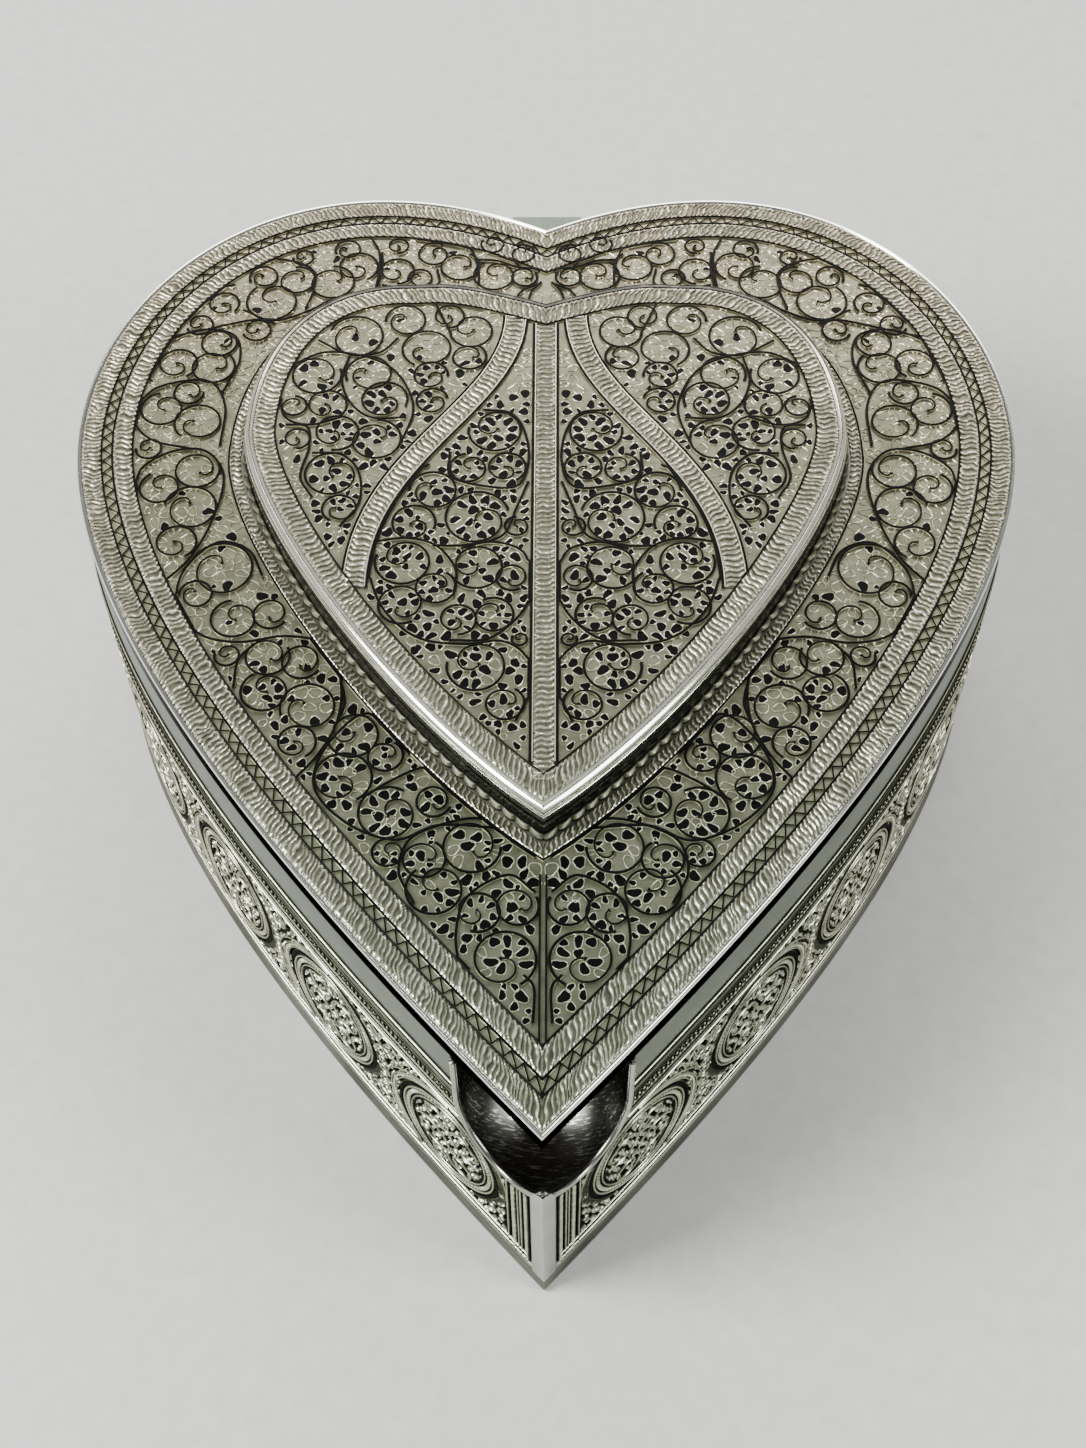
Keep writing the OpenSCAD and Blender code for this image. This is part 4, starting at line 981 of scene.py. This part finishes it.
# Raised heart, left half, in the plane of its own top
RAISED_SCROLLS = [
    (-8, 25.3, 4.1, 170, 1), (-12, 17.8, 2.8, 100, 1), (-5.9, 17.8, 2.9, -60, 1),
    (-18, 13.6, 4.3, 180, -1), (-10.3, 8, 4.9, 20, 1), (-20, 6.9, 3.3, -20, 1),
    (-4, 6.3, 2.1, 90, 1), (-21.5, -0.6, 4.1, 160, 1), (-16.3, -5.2, 3.0, 60, -1),
    (-21.3, -8.6, 3.4, -60, -1), (-10.3, -1.6, 3.9, -150, 1), (-4.3, -3.6, 2.9, -60, -1),
    (-12.8, -11.3, 2.7, -90, 1), (-7.6, -10.3, 3.0, 120, -1), (-2.9, -14.7, 1.9, 150, 1),
    (-10, -19.6, 4.2, 170, 1), (-5.6, -26, 2.8, 60, -1),
    (-23, 49.6, 3.9, 180, -1), (-15.8, 50, 2.7, -90, 1), (-12.2, 46.5, 3.4, 180, 1),
    (-31, 45.5, 4.5, 160, -1), (-19.3, 42.6, 3.9, -120, -1), (-18.4, 37.0, 2.7, 0, 1),
    (-11.8, 40.7, 3.3, 60, -1), (-36.7, 37, 3.9, 20, -1), (-28.5, 37.3, 3.6, 200, -1),
    (-25.6, 31.8, 3.6, -20, 1), (-40.4, 30.5, 2.4, 90, -1), (-34.7, 30.5, 3.1, -90, 1),
    (-17.6, 31.3, 3.0, 20, 1), (-32.9, 24.8, 3.5, -100, 1), (-26.6, 23.6, 3.9, 90, -1),
    (-39, 23.6, 2.0, -90, 1), (-33.2, 16.6, 4.1, 60, 1), (-31.6, 9.6, 2.6, -120, -1),
]
RAISED_STEMS = [
    [(-24.5, 9), (-26.4, 2), (-26, -4), (-23.5, -10), (-18.5, -14.6), (-12, -15.7), (-6, -15.2),
     (-2.3, -18.5), (-2.2, -24), (-4, -29)],
    [(-26, 3.2), (-21, 3.9), (-16.5, 2.5), (-13.4, -2), (-13.6, -7)],
    [(-17, 2.5), (-12, 2.6), (-6.5, 4.4), (-4.3, 10), (-2.6, 15)],
    [(-12.5, 2), (-8, 3.2), (-3.2, 1.2), (-2.1, -5), (-3.4, -10), (-8, -14.6), (-14, -15)],
    [(-14.9, 21), (-14.6, 16), (-9, 14), (-4.2, 14.2), (-2.6, 19), (-3.2, 25), (-5.5, 28.9),
     (-10, 29.6)],
    [(-18, 18.4), (-22.6, 15), (-24.4, 9)],
    [(-37, 44.5), (-32, 41.5), (-27, 41.8), (-24, 45)],
    [(-41, 39), (-36, 41.8), (-30, 41.2), (-25, 38.6), (-22, 34), (-21, 29), (-22.6, 23)],
    [(-31.8, 41), (-32.7, 36), (-31, 31), (-27.5, 28), (-22, 28)],
    [(-42.4, 32), (-41, 27.8), (-37, 26.5), (-32, 28.2)],
    [(-41, 26.5), (-37.6, 26), (-37, 22), (-38, 16), (-36, 12)],
    [(-36.5, 20.7), (-32, 20.4), (-29, 17), (-28.6, 11), (-31.4, 6)],
    [(-15.5, 46), (-18.5, 53.5)],
]


def nearest(points, line):
    """For each point its distance to a dense line and that line's nearest point."""
    gap = np.linalg.norm(points[:, None] - line[None], axis=2)
    best = gap.argmin(1)
    return gap[np.arange(len(points)), best], line[best]


def fitted(scrolls, border):
    """The scrolls, each moved away from the border and made smaller until it clears it by 0.3 mm:
    half of what is missing by moving, up to 0.9 mm, the rest by its radius."""
    t = np.array(scrolls, float)
    for _ in range(3):
        gap, edge = nearest(t[:, :2], border)
        miss = np.clip(t[:, 2] + 0.3 - gap, 0, 2)
        step = np.minimum(miss * 0.5, 0.9)
        t[:, :2] += (t[:, :2] - edge) / gap[:, None] * step[:, None]
        t[:, 2] -= miss - step
    return t


def kept_in(runs, border, allowed):
    """Stem wires whose points outside the allowed field are drawn back to its border."""
    flat = runs.reshape(-1, 2)
    gap, edge = nearest(flat, border)
    good = allowed(flat) & (gap > 0.25)
    return np.where(good[:, None], flat, edge).reshape(runs.shape)


# Points along each scroll and each stem
SCROLL_COUNT = 72
STEM_COUNT = 76


def scroll_paths(scrolls, stems, border, allowed):
    """Scrolls and stems of the left half as two sets of paths."""
    left = spirals(fitted(scrolls, border), SCROLL_COUNT)
    runs = np.stack([through(s, STEM_COUNT) for s in stems])
    return left, kept_in(runs, border, allowed)


def scroll_set(left, runs, z, tall=0.46):
    """Scroll and stem wires of the left half and their mirror image, standing at height z."""
    parts = []
    for side in (1, -1):
        flip = np.array([side, 1.0])
        half = taper(SCROLL_COUNT, 0.23, 0.15, 0.36)
        parts.append(lay_wire(left * flip, half, tall, BLACK_WIRE))
        parts.append(lay_wire(runs * flip, 0.22, tall * 1.05, BLACK_WIRE))
    return [upward(onto(p, z)) for p in parts]


def inside(points, polygon):
    """Whether each point lies inside a closed polygon: an odd number of its sides cross the ray to
    the right."""
    x, y = points[:, 0:1], points[:, 1:2]
    a, b = polygon, np.roll(polygon, -1, axis=0)
    crosses = (a[None, :, 1] > y) != (b[None, :, 1] > y)
    fall = np.where(b[:, 1] == a[:, 1], 1e-9, b[:, 1] - a[:, 1])
    at = a[None, :, 0] + (y - a[None, :, 1]) / fall * (b[None, :, 0] - a[None, :, 0])
    return (crosses & (x < at)).sum(1) % 2 == 1


def cells(scrolls, wires, allowed, largest, seed):
    """Places, directions and sizes of the holes: first rings inside each scroll, then a fine
    jittered lattice; a place is taken when it clears the wires and the holes taken so far, and
    its size is what that leaves. Returns x, y, direction, half length."""
    rng = np.random.default_rng(seed)
    t = np.array(scrolls, float)
    found = []
    for x, y, r in t[:, :3]:
        n = max(4, int(round(2 * math.pi * 0.7 * r / 1.75)))
        w = np.linspace(0, 2 * math.pi, n, endpoint=False) + rng.uniform(0, 6)
        w = w + rng.normal(0, 0.07, n)
        q = 0.7 * r + rng.normal(0, 0.08, n)
        found.append(np.column_stack([x + q * np.cos(w), y + q * np.sin(w)]))
    gx, gy = np.meshgrid(np.arange(-80, 0, 0.72), np.arange(-90, 90, 0.72))
    loose = np.column_stack([gx.ravel(), gy.ravel()]) + rng.normal(0, 0.15, (gx.size, 2))
    found.append(loose[rng.permutation(len(loose))])
    found = np.concatenate(found)
    found = found[allowed(found)]
    room = np.concatenate([nearest(part, wires)[0] for part in np.array_split(found, 60)])
    found, room = found[room > 0.66], room[room > 0.66]
    taken = np.zeros((0, 2))
    size = np.zeros(0)
    for place, space in zip(found, room):
        half = min(largest, space - 0.16)
        if not len(taken) or (np.linalg.norm(taken - place, axis=1) > size + half * 0.86).all():
            taken = np.vstack([taken, place])
            size = np.append(size, half)
    gap = np.linalg.norm(taken[:, None] - t[None, :, :2], axis=2)
    home = gap.argmin(1)
    way = np.arctan2(taken[:, 1] - t[home, 1], taken[:, 0] - t[home, 0])
    return np.column_stack([taken, way + rng.normal(0, 0.2, len(taken)), size])


def hole_rings(found, seed, z, open_share):
    """Bright wire loops round the holes, and black caps on those that are open: painted shade
    standing for the dark depth of a hole. Each outline is an oval, longer along its own direction,
    made lumpy by two waves; caps have twelve sides."""
    rng = np.random.default_rng(seed)
    n = len(found)
    w = np.linspace(0, 2 * math.pi, 12, endpoint=False)[None, :]
    long = found[:, 3:4] * rng.uniform(1.05, 1.22, (n, 1))
    wide = long * rng.uniform(0.7, 0.95, (n, 1))
    lump = 1 + 0.16 * np.cos(2 * w + rng.uniform(0, 6, (n, 1)))
    lump = lump + 0.12 * np.cos(3 * w + rng.uniform(0, 6, (n, 1)))
    a, b = long * lump * np.cos(w), wide * lump * np.sin(w)
    c, s = np.cos(found[:, 2:3]), np.sin(found[:, 2:3])
    ring = np.stack([found[:, 0:1] + a * c - b * s, found[:, 1:2] + a * s + b * c], -1)
    loops = onto(lay_wire(ring, 0.1, 0.15, THIN_WIRE, closed=True), z)
    # holes that get a black cap: painted shade
    is_open = rng.random(n) < open_share(found[:, :2])
    middle = found[is_open, None, :2]
    rim = middle + (ring[is_open] - middle) * 0.84
    shade_disc = np.stack([rim, middle + (rim - middle) * 0.5, middle + (rim - middle) * 0.02], 1)
    lift = np.array([0.055, 0.05, 0.05])[None, :, None] + 0 * shade_disc[..., 0]
    points = np.concatenate([shade_disc, lift[..., None]], -1).reshape(-1, 3)
    faces = copies(grid_faces(3, 12, wrap_cols=True), len(shade_disc), 36)
    return loops, onto((points, faces, np.zeros(len(points))), z)


def both_sides(part):
    """A part of the left half together with its mirror image."""
    points, faces, tone = part
    return [upward(part), upward((points * [-1, 1, 1], faces, tone))]


field_edge = heart_loop(OUTER, -BAND3, 500)
field_hole = heart_loop(RISE, 3.1, 400)
FIELD_Z = PLATE + 0.1


def on_field(p):
    """Whether points lie on the lid's field: inside the bands and outside the raised heart."""
    return inside(p, field_edge) & ~inside(p, field_hole)


def in_field(p):
    """Whether points of the left half lie on the field, clear of the middle."""
    return on_field(p) & (p[:, 0] < -1.1)


def field_open(p):
    """Share of open holes: nearly all in front, hardly any at the sides and the back."""
    front = smooth((5 - p[:, 1]) / 45)
    return 0.04 + 0.86 * front


field_border = np.concatenate([heart_loop(OUTER, -BAND3 - 0.2, 900),
                               heart_loop(RISE, 3.3, 700)])
left, runs = scroll_paths(FIELD_SCROLLS, FIELD_STEMS, field_border, on_field)
field_wires = np.concatenate([left.reshape(-1, 2), runs.reshape(-1, 2), field_border])
found = cells(FIELD_SCROLLS, field_wires[::2], in_field, 0.9, 51)
loops, caps = hole_rings(found, 52, FIELD_Z, field_open)
inner, outer = heart_loop(RISE, 3.0, 700), heart_loop(OUTER, -BAND3 + 0.1, 700)
k = np.linspace(0, 1, 6)[None, :, None]
sheet = outer[:, None] * (1 - k) + inner[:, None] * k
sheet = np.dstack([sheet, np.full(sheet.shape[:2], FIELD_Z)])
sheet = sheet.reshape(-1, 3)
ground = upward((sheet, grid_faces(len(outer), 6, True), np.full(len(sheet), 0.5)))
edges = [upward(edge_wire(OUTER, -BAND3 + 0.05, PLATE, 0.17, 0.5, BLACK_WIRE)),
         upward(edge_wire(RISE, 3.0, PLATE, 0.15, 0.5, BLACK_WIRE))]
middle_wire = np.stack([[np.array([x, y]) for y in np.linspace(-75.6, -50.5, 60)]
                        for x in (-0.45, 0.45)])
middle_wire = upward(onto(lay_wire(middle_wire, 0.16, 0.45, BLACK_WIRE), FIELD_Z))
part = join([ground] + both_sides(loops) + both_sides(caps))
make("lid_field_sheet", part, scroll_silver, "lid", ["lid_filigree"], up=True)
part = join(scroll_set(left, runs, FIELD_Z) + edges + [middle_wire])
make("lid_field_scrolls", part, scroll_silver, "lid", up=True)

# ---------------------------------------------------------------------------------------------
# Raised heart
# A shallow tray of silver sheet set on the lid: an upright side with two scored lines, a wide
# mirror-bright bevel, and a row of small scallops, cut from sheet, round its foot.
# ---------------------------------------------------------------------------------------------
RISE_SIDE = 65.8
# points are offset, height and tone; the upright side's near-black tone is painted dark reflection,
# with paler bands of painted highlight, and the bevel is bright
side_profile = [(0, PLATE, 0.05), (0, 62.6, 0.04), (-0.02, 63.0, 0.2), (0, 63.4, 0.08),
                (0, 64.5, 0.05), (-0.1, 64.65, 0.0), (0, 64.8, 0.45), (0, 65.5, 0.2),
                (-0.1, 65.62, 0.0), (-0.05, 65.75, 0.9)]
# the bevel curves in by 1.25 mm as it rises by 1.5, with two fine grooves turned into it
inset = np.linspace(0, 1, 19)
groove = np.isin(np.arange(19), (6, 15))
for a, cut in zip(inset, groove):
    depth = 0.07 if cut else 0.0
    side_profile.append((-0.1 - 1.25 * (1 - math.cos(math.pi / 2 * a)) - depth,
                         RISE_SIDE + 1.52 * math.sin(math.pi / 2 * a) - depth, 0.1 if cut else 1.0))
side_profile += [(-1.62, 67.34, 0.7), (-1.8, 66.4, 0.1), (-1.8, PLATE, 0.1)]
points, faces = sweep_heart(RISE, [(o, z) for o, z, _ in side_profile], 430)
tone = np.array([t for _, _, t in side_profile])[None, :]
# the back of the tray is made darker than its front, down to three tenths of its tone: painted dark
# reflection
tone = tone * (0.3 + 0.7 * smooth((56 - points[:, :1, 1]) / 24))
tray_silver_painted_reflection = wirework("sterling_silver_mirror_painted_reflection", [
    (0.0, "#0c0c0b"), (0.3, "#2c2d2a"), (0.6, "#8e8f88"), (0.85, "#e4e4de"), (1.0, "#ffffff")],
    0.15, 0.01)
make("raised_heart_tray", (points, faces, tone), tray_silver_painted_reflection, "lid",
     ["raised_side"])

SCALLOP = 2.6
length = heart_path(RISE, 0.5, 900)[1]
per = 16
count = int(round(length / SCALLOP)) * per + 1
bulge = np.abs(np.sin(math.pi * (np.arange(count) / per)))**0.6
low = heart_path(RISE, 0.02, count)[0]
lines = []
for a in (0.0, 0.35, 0.7, 1.0):
    out = heart_path(RISE, 0.78 * a, count)[0]
    lines.append((low + (out - low) * (0.25 + 0.75 * bulge[:, None]), 61.55 - 0.5 * a**3))
strip = np.stack([np.column_stack([l, np.full(len(l), z)]) for l, z in lines], 1)
foot = strip[:, -1:].copy()
foot[..., 2] = PLATE
strip = np.concatenate([strip, foot], 1).reshape(-1, 3)
tone = np.tile([0.1, 0.3, 0.42, 0.8, 0.1], count)
part = join(both_sides((strip, grid_faces(count, 5), tone)))
make("scallop_strip_cut", part, scroll_silver, "lid", ["scallop_strip"], up=True)

# ---------------------------------------------------------------------------------------------
# Field and bands of the raised heart
# The same pierced sheet and scrolls as on the lid, divided by bands of twisted wire: one round
# the edge, one down the middle, and one on each side that curves like the edge of a leaf.
# ---------------------------------------------------------------------------------------------
RAISED_Z = 67.0
RAISED_PLATE = 66.5
CENTRE_HALF = 1.6
band = twisted_band(RISE, -1.7, -5.0, RAISED_PLATE, 67.39, 0.96, 0.95, 0.15, 0.7, 61)
make("raised_border_twist", band, twist_silver, "lid", ["raised_border"])

raised_edge = heart_loop(RISE, -5.15, 500)
border_line = heart_path(RISE, -5.1, 600)[0]
low_y, high_y = border_line[-1, 1], border_line[0, 1]


def straight_band(line, half, pitch, slant, bend, rough, seed, z_low, z_top, step=0.16, cols=13):
    """Twisted band that follows an open line: rows across it every step mm, height from ridges(),
    with its two sides carried down to z_low."""
    length = respaced(line, 2)[1]
    count = int(length / step)
    s = np.linspace(0, length, count)
    mid = respaced(line, count)[0]
    v = np.linspace(0, 1, cols)
    flat = mid[:, None] + square_to(mid)[:, None] * (half * (2 * v - 1))[None, :, None]
    height, tone = ridges(s[:, None] + 0 * v, v[None] + 0 * s[:, None], pitch, slant, bend, rough,
                          seed)
    fall = smooth(v * 9) * smooth((1 - v) * 9)
    z = z_top - 0.22 * (1 - height * (0.25 + 0.75 * fall))
    top = np.dstack([flat, z])
    a, b = top[:, :1].copy(), top[:, -1:].copy()
    a[..., 2] = b[..., 2] = z_low
    dark = np.full((count, 1), 0.1)
    points = np.concatenate([a, top, b], 1).reshape(-1, 3)
    return points, grid_faces(count, cols + 2), np.concatenate([dark, tone, dark], 1).ravel()


middle = np.stack([np.zeros(400), np.linspace(low_y - 0.9, high_y - 0.2, 400)], 1)
band = upward(straight_band(middle, CENTRE_HALF - 0.15, 0.98, 0.9, 0.12, 0.5, 71, RAISED_PLATE,
                            67.38))
make("centre_twist", band, twist_silver, "lid", ["centre_band"], up=True)

LEAF = np.array([[5, 52], [3.5, 30], [30, 21.5], [28.5, -7]], float)
leaf_line = cubic(*LEAF, np.linspace(0, 1, 400)[:, None])
keep = inside(leaf_line, heart_loop(RISE, -5.0, 500)) & (leaf_line[:, 0] > 3.3)
leaf_line = leaf_line[keep]
points, faces, tone = straight_band(leaf_line, 1.5, 0.98, 0.9, 0.12, 0.6, 72, RAISED_PLATE, 67.36)
out = square_to(leaf_line)
edge_parts = []
for side, word in SIDES:
    make("leaf_twist_" + word, upward((points * [side, 1, 1], faces, tone)), twist_silver, "lid",
         ["leaf_band_" + word], up=True)
    for off, section, half in ((1.62, BRIGHT_WIRE, 0.14), (-1.62, BRIGHT_WIRE, 0.14),
                               (1.95, BLACK_WIRE, 0.15), (-1.95, BLACK_WIRE, 0.15)):
        line = leaf_line + out * off
        line = line[inside(line, heart_loop(RISE, -5.2, 500)) & (line[:, 0] > 1.7)] * [side, 1]
        edge_parts.append(upward(onto(lay_wire([line], half, 0.4, section), RAISED_Z)))
    for off, section, half in ((1.62, BRIGHT_WIRE, 0.14), (1.98, BLACK_WIRE, 0.17)):
        line = np.stack([np.full(200, side * off), np.linspace(low_y + 2.0, high_y + 0.1, 200)], 1)
        edge_parts.append(upward(onto(lay_wire([line], half, 0.4, section), RAISED_Z)))

leaf_dense = leaf_line[::2] * [-1, 1]


def on_raised(p):
    """Whether points of the left half lie on the raised field, clear of its bands."""
    return inside(p, raised_edge) & (p[:, 0] < -2.3) & (nearest(p, leaf_dense)[0] > 2.25)


def raised_open(p):
    """Share of open holes on the raised heart: most of them, fewer towards the lobes."""
    back = smooth((p[:, 1] - 28) / 18)
    outer = smooth((-p[:, 0] - 34) / 6)
    return 0.9 - 0.86 * np.maximum(back, 0.7 * outer)


band_sides = [leaf_dense + side * 2.2 * square_to(leaf_dense) for side in (1, -1)]
band_sides.append(np.stack([np.full(300, -2.25), np.linspace(low_y, high_y, 300)], 1))
raised_border = np.concatenate([heart_loop(RISE, -5.35, 900)] + band_sides)
left, runs = scroll_paths(RAISED_SCROLLS, RAISED_STEMS, raised_border, on_raised)
raised_wires = np.concatenate([left.reshape(-1, 2), runs.reshape(-1, 2), raised_border])
found = cells(RAISED_SCROLLS, raised_wires[::2], on_raised, 0.88, 81)
loops, caps = hole_rings(found, 82, RAISED_Z, raised_open)
half_edge = heart_path(RISE, -5.0, 500)[0]
spine = np.stack([np.zeros(500), np.linspace(half_edge[0, 1], half_edge[-1, 1], 500)], 1)
k = np.linspace(0, 1, 8)[None, :, None]
half = half_edge[:, None] * (1 - k) + spine[:, None] * k
half = np.dstack([half, np.full(half.shape[:2], RAISED_Z)]).reshape(-1, 3)
ground = both_sides((half, grid_faces(500, 8), np.full(len(half), 0.5)))
edge_parts.append(upward(edge_wire(RISE, -5.12, RAISED_Z - 0.1, 0.16, 0.48, BLACK_WIRE)))
part = join(ground + both_sides(loops) + both_sides(caps))
make("raised_field_sheet", part, scroll_silver, "lid", ["raised_filigree"], up=True)
part = join(scroll_set(left, runs, RAISED_Z, 0.37) + edge_parts)
make("raised_field_scrolls", part, scroll_silver, "lid", up=True)


def dress(material, names):
    """Gives CAD nodes a material."""
    for name in names:
        nodes[name].data.materials.clear()
        nodes[name].data.materials.append(material)


# Silvered mirror glass
mirror, tree, shader, coords = blank("silvered_mirror_glass")
haze = node(tree, "TexNoise", {"Scale": 90.0}, Vector=(coords, "Object"))
dull = node(tree, "MapRange", {"To Min": 0.01, "To Max": 0.06}, Value=(haze, "Fac"))
fit(tree, shader, {"Base Color": linear("#dfe4e6"), "Metallic": 1.0}, Roughness=(dull, "Result"))
dress(mirror, ["lid_mirror"])


def metal(name, light, dark, rough, grain_mm, stretch):
    """Metal of the box's hidden parts and of the movement: two colours, roughness, grain size in mm
    and how far the grain is stretched along X, as rolling or grinding leaves it."""
    material, tree, shader, coords = blank(name)
    aim = node(tree, "Mapping", {"Scale": (1 / stretch, 1.0, 1.0)}, Vector=(coords, "Object"))
    grain = node(tree, "TexNoise", {"Scale": 1000 / grain_mm, "Detail": 3.0},
                 Vector=(aim, "Vector"))
    cloud = node(tree, "TexNoise", {"Scale": 120.0, "Detail": 2.0}, Vector=(coords, "Object"))
    hue = node(tree, "ValToRGB", {"stops": [(0.3, dark), (0.7, light)]}, Fac=(cloud, "Fac"))
    gloss = node(tree, "MapRange", {"To Min": rough * 0.8, "To Max": rough * 1.25},
                 Value=(grain, "Fac"))
    bump = node(tree, "Bump", {"Strength": 0.2, "Distance": 0.0001}, Height=(grain, "Fac"))
    fit(tree, shader, {"Metallic": 1.0}, Base_Color=(hue, "Color"), Roughness=(gloss, "Result"),
        Normal=(bump, "Normal"))
    return material


dull_sheet = metal("oxidised_silver_sheet", "#8f8f85", "#66675f", 0.45, 0.3, 3)
cast_zinc = metal("nickel_plated_zinc_casting", "#9c9fa0", "#7e8283", 0.42, 0.5, 1)
ground_steel = metal("ground_steel", "#b6b9bb", "#9a9ea1", 0.28, 0.15, 8)
blued = metal("blued_spring_steel", "#41506b", "#2c3648", 0.25, 0.15, 4)
brass = metal("rolled_brass", "#c9a862", "#a98948", 0.3, 0.15, 5)
dress(dull_sheet, ["floor_plate", "lid_plate"])
dress(plain_silver, ["hinge_leaf_box", "hinge_leaf_lid"])
dress(cast_zinc, ["bedplate"])
dress(ground_steel, ["hinge_pin", "comb", "winding_arbor", "cylinder_arbor", "second_arbor",
                     "governor_worm", "stop_rod"])
dress(blued, ["mainspring"])
dress(brass, ["bed_screws", "comb_screws", "left_bearing", "right_bearing", "governor_bracket",
              "rod_guide", "winding_key", "spring_barrel", "pinned_cylinder", "cylinder_pinion",
              "cylinder_wheel", "worm_wheel"])

# Acetal air brake: black, moulded, slightly matt
acetal, tree, shader, coords = blank("black_moulded_acetal")
grit = node(tree, "TexNoise", {"Scale": 3000.0}, Vector=(coords, "Object"))
bump = node(tree, "Bump", {"Strength": 0.2, "Distance": 0.00005}, Height=(grit, "Fac"))
fit(tree, shader, {"Base Color": linear("#1c1d1f"), "Roughness": 0.5, "IOR": 1.48},
    Normal=(bump, "Normal"))
dress(acetal, ["air_brake"])

# Clear moulded polystyrene cover
clear, tree, shader, coords = blank("clear_moulded_polystyrene")
swirl = node(tree, "TexNoise", {"Scale": 70.0, "Detail": 2.0}, Vector=(coords, "Object"))
bump = node(tree, "Bump", {"Strength": 0.06, "Distance": 0.0003}, Height=(swirl, "Fac"))
fit(tree, shader, {"Base Color": linear("#eef4f6"), "Roughness": 0.05, "IOR": 1.59,
                   "Transmission Weight": 0.95}, Normal=(bump, "Normal"))
dress(clear, ["movement_cover"])

# Velvet on the floor of the box, cut round the movement's cover
dress(velvet, ["lining_floor"])

# ---------------------------------------------------------------------------------------------
# Floor, light and camera
# ---------------------------------------------------------------------------------------------
paper, tree, shader, coords = blank("pale_paper")
fibre = node(tree, "TexNoise", {"Scale": 300.0, "Detail": 3.0}, Vector=(coords, "Object"))
hue = node(tree, "ValToRGB", {"stops": [(0.3, "#cfcfcc"), (0.7, "#d8d8d5")]}, Fac=(fibre, "Fac"))
fit(tree, shader, {"Roughness": 0.9}, Base_Color=(hue, "Color"))
FLOOR = 4.0
corners = [(-FLOOR, -FLOOR, 0), (FLOOR, -FLOOR, 0), (FLOOR, FLOOR, 0), (-FLOOR, FLOOR, 0)]
floor_mesh = bpy.data.meshes.new("floor")
floor_mesh.from_pydata(corners, [], [(0, 1, 2, 3)])
floor_mesh.materials.append(paper)
floor = bpy.data.objects.new("floor", floor_mesh)
bpy.context.scene.collection.objects.link(floor)

world = bpy.data.worlds.new("studio")
world.use_nodes = True
world.node_tree.nodes["Background"].inputs["Color"].default_value = linear("#c8cac8")
world.node_tree.nodes["Background"].inputs["Strength"].default_value = 0.5
bpy.context.scene.world = world


def soft_box(name, place, aim, width, height, watts):
    """Rectangular area light at place, turned to face aim."""
    light = bpy.data.lights.new(name, "AREA")
    light.shape = "RECTANGLE"
    light.size, light.size_y, light.energy = width, height, watts
    lamp = bpy.data.objects.new(name, light)
    lamp.location = place
    way = np.array(aim, float) - place
    way /= np.linalg.norm(way)
    lamp.rotation_euler = (math.acos(-way[2]), 0, math.atan2(way[1], way[0]) - math.pi / 2)
    bpy.context.scene.collection.objects.link(lamp)


middle_of_box = np.array([0, 0, 0.04])
soft_box("key_left", (-0.55, -0.15, 0.55), middle_of_box, 0.35, 0.5, 11)
soft_box("fill_right", (0.6, -0.25, 0.45), middle_of_box, 0.3, 0.5, 5)
soft_box("back_strip", (0.05, 0.65, 0.5), middle_of_box, 0.7, 0.25, 4.5)

LENS = 50.57
ELEVATION = math.radians(57.33)
AZIMUTH = 0.01254
ROLL = -0.009155
DISTANCE = 0.29808
aim = np.array([-0.000166, (-25.589 + SHIFT) / 1000, 0.061])
back = np.array([math.sin(AZIMUTH) * math.cos(ELEVATION), -math.cos(AZIMUTH) * math.cos(ELEVATION),
                 math.sin(ELEVATION)])
right = np.cross(-back, [0, 0, 1])
right /= np.linalg.norm(right)
above = np.cross(right, -back)
turned = right * math.cos(ROLL) + above * math.sin(ROLL)
upright = -right * math.sin(ROLL) + above * math.cos(ROLL)
camera_data = bpy.data.cameras.new("camera")
camera_data.lens = LENS
camera_data.sensor_width = 36
camera_data.clip_start = 0.01
camera = bpy.data.objects.new("camera", camera_data)
place = np.eye(4)
place[:3] = np.column_stack([turned, upright, back, aim + back * DISTANCE])
camera.matrix_world = [list(row) for row in place.T]
bpy.context.scene.collection.objects.link(camera)
bpy.context.scene.camera = camera
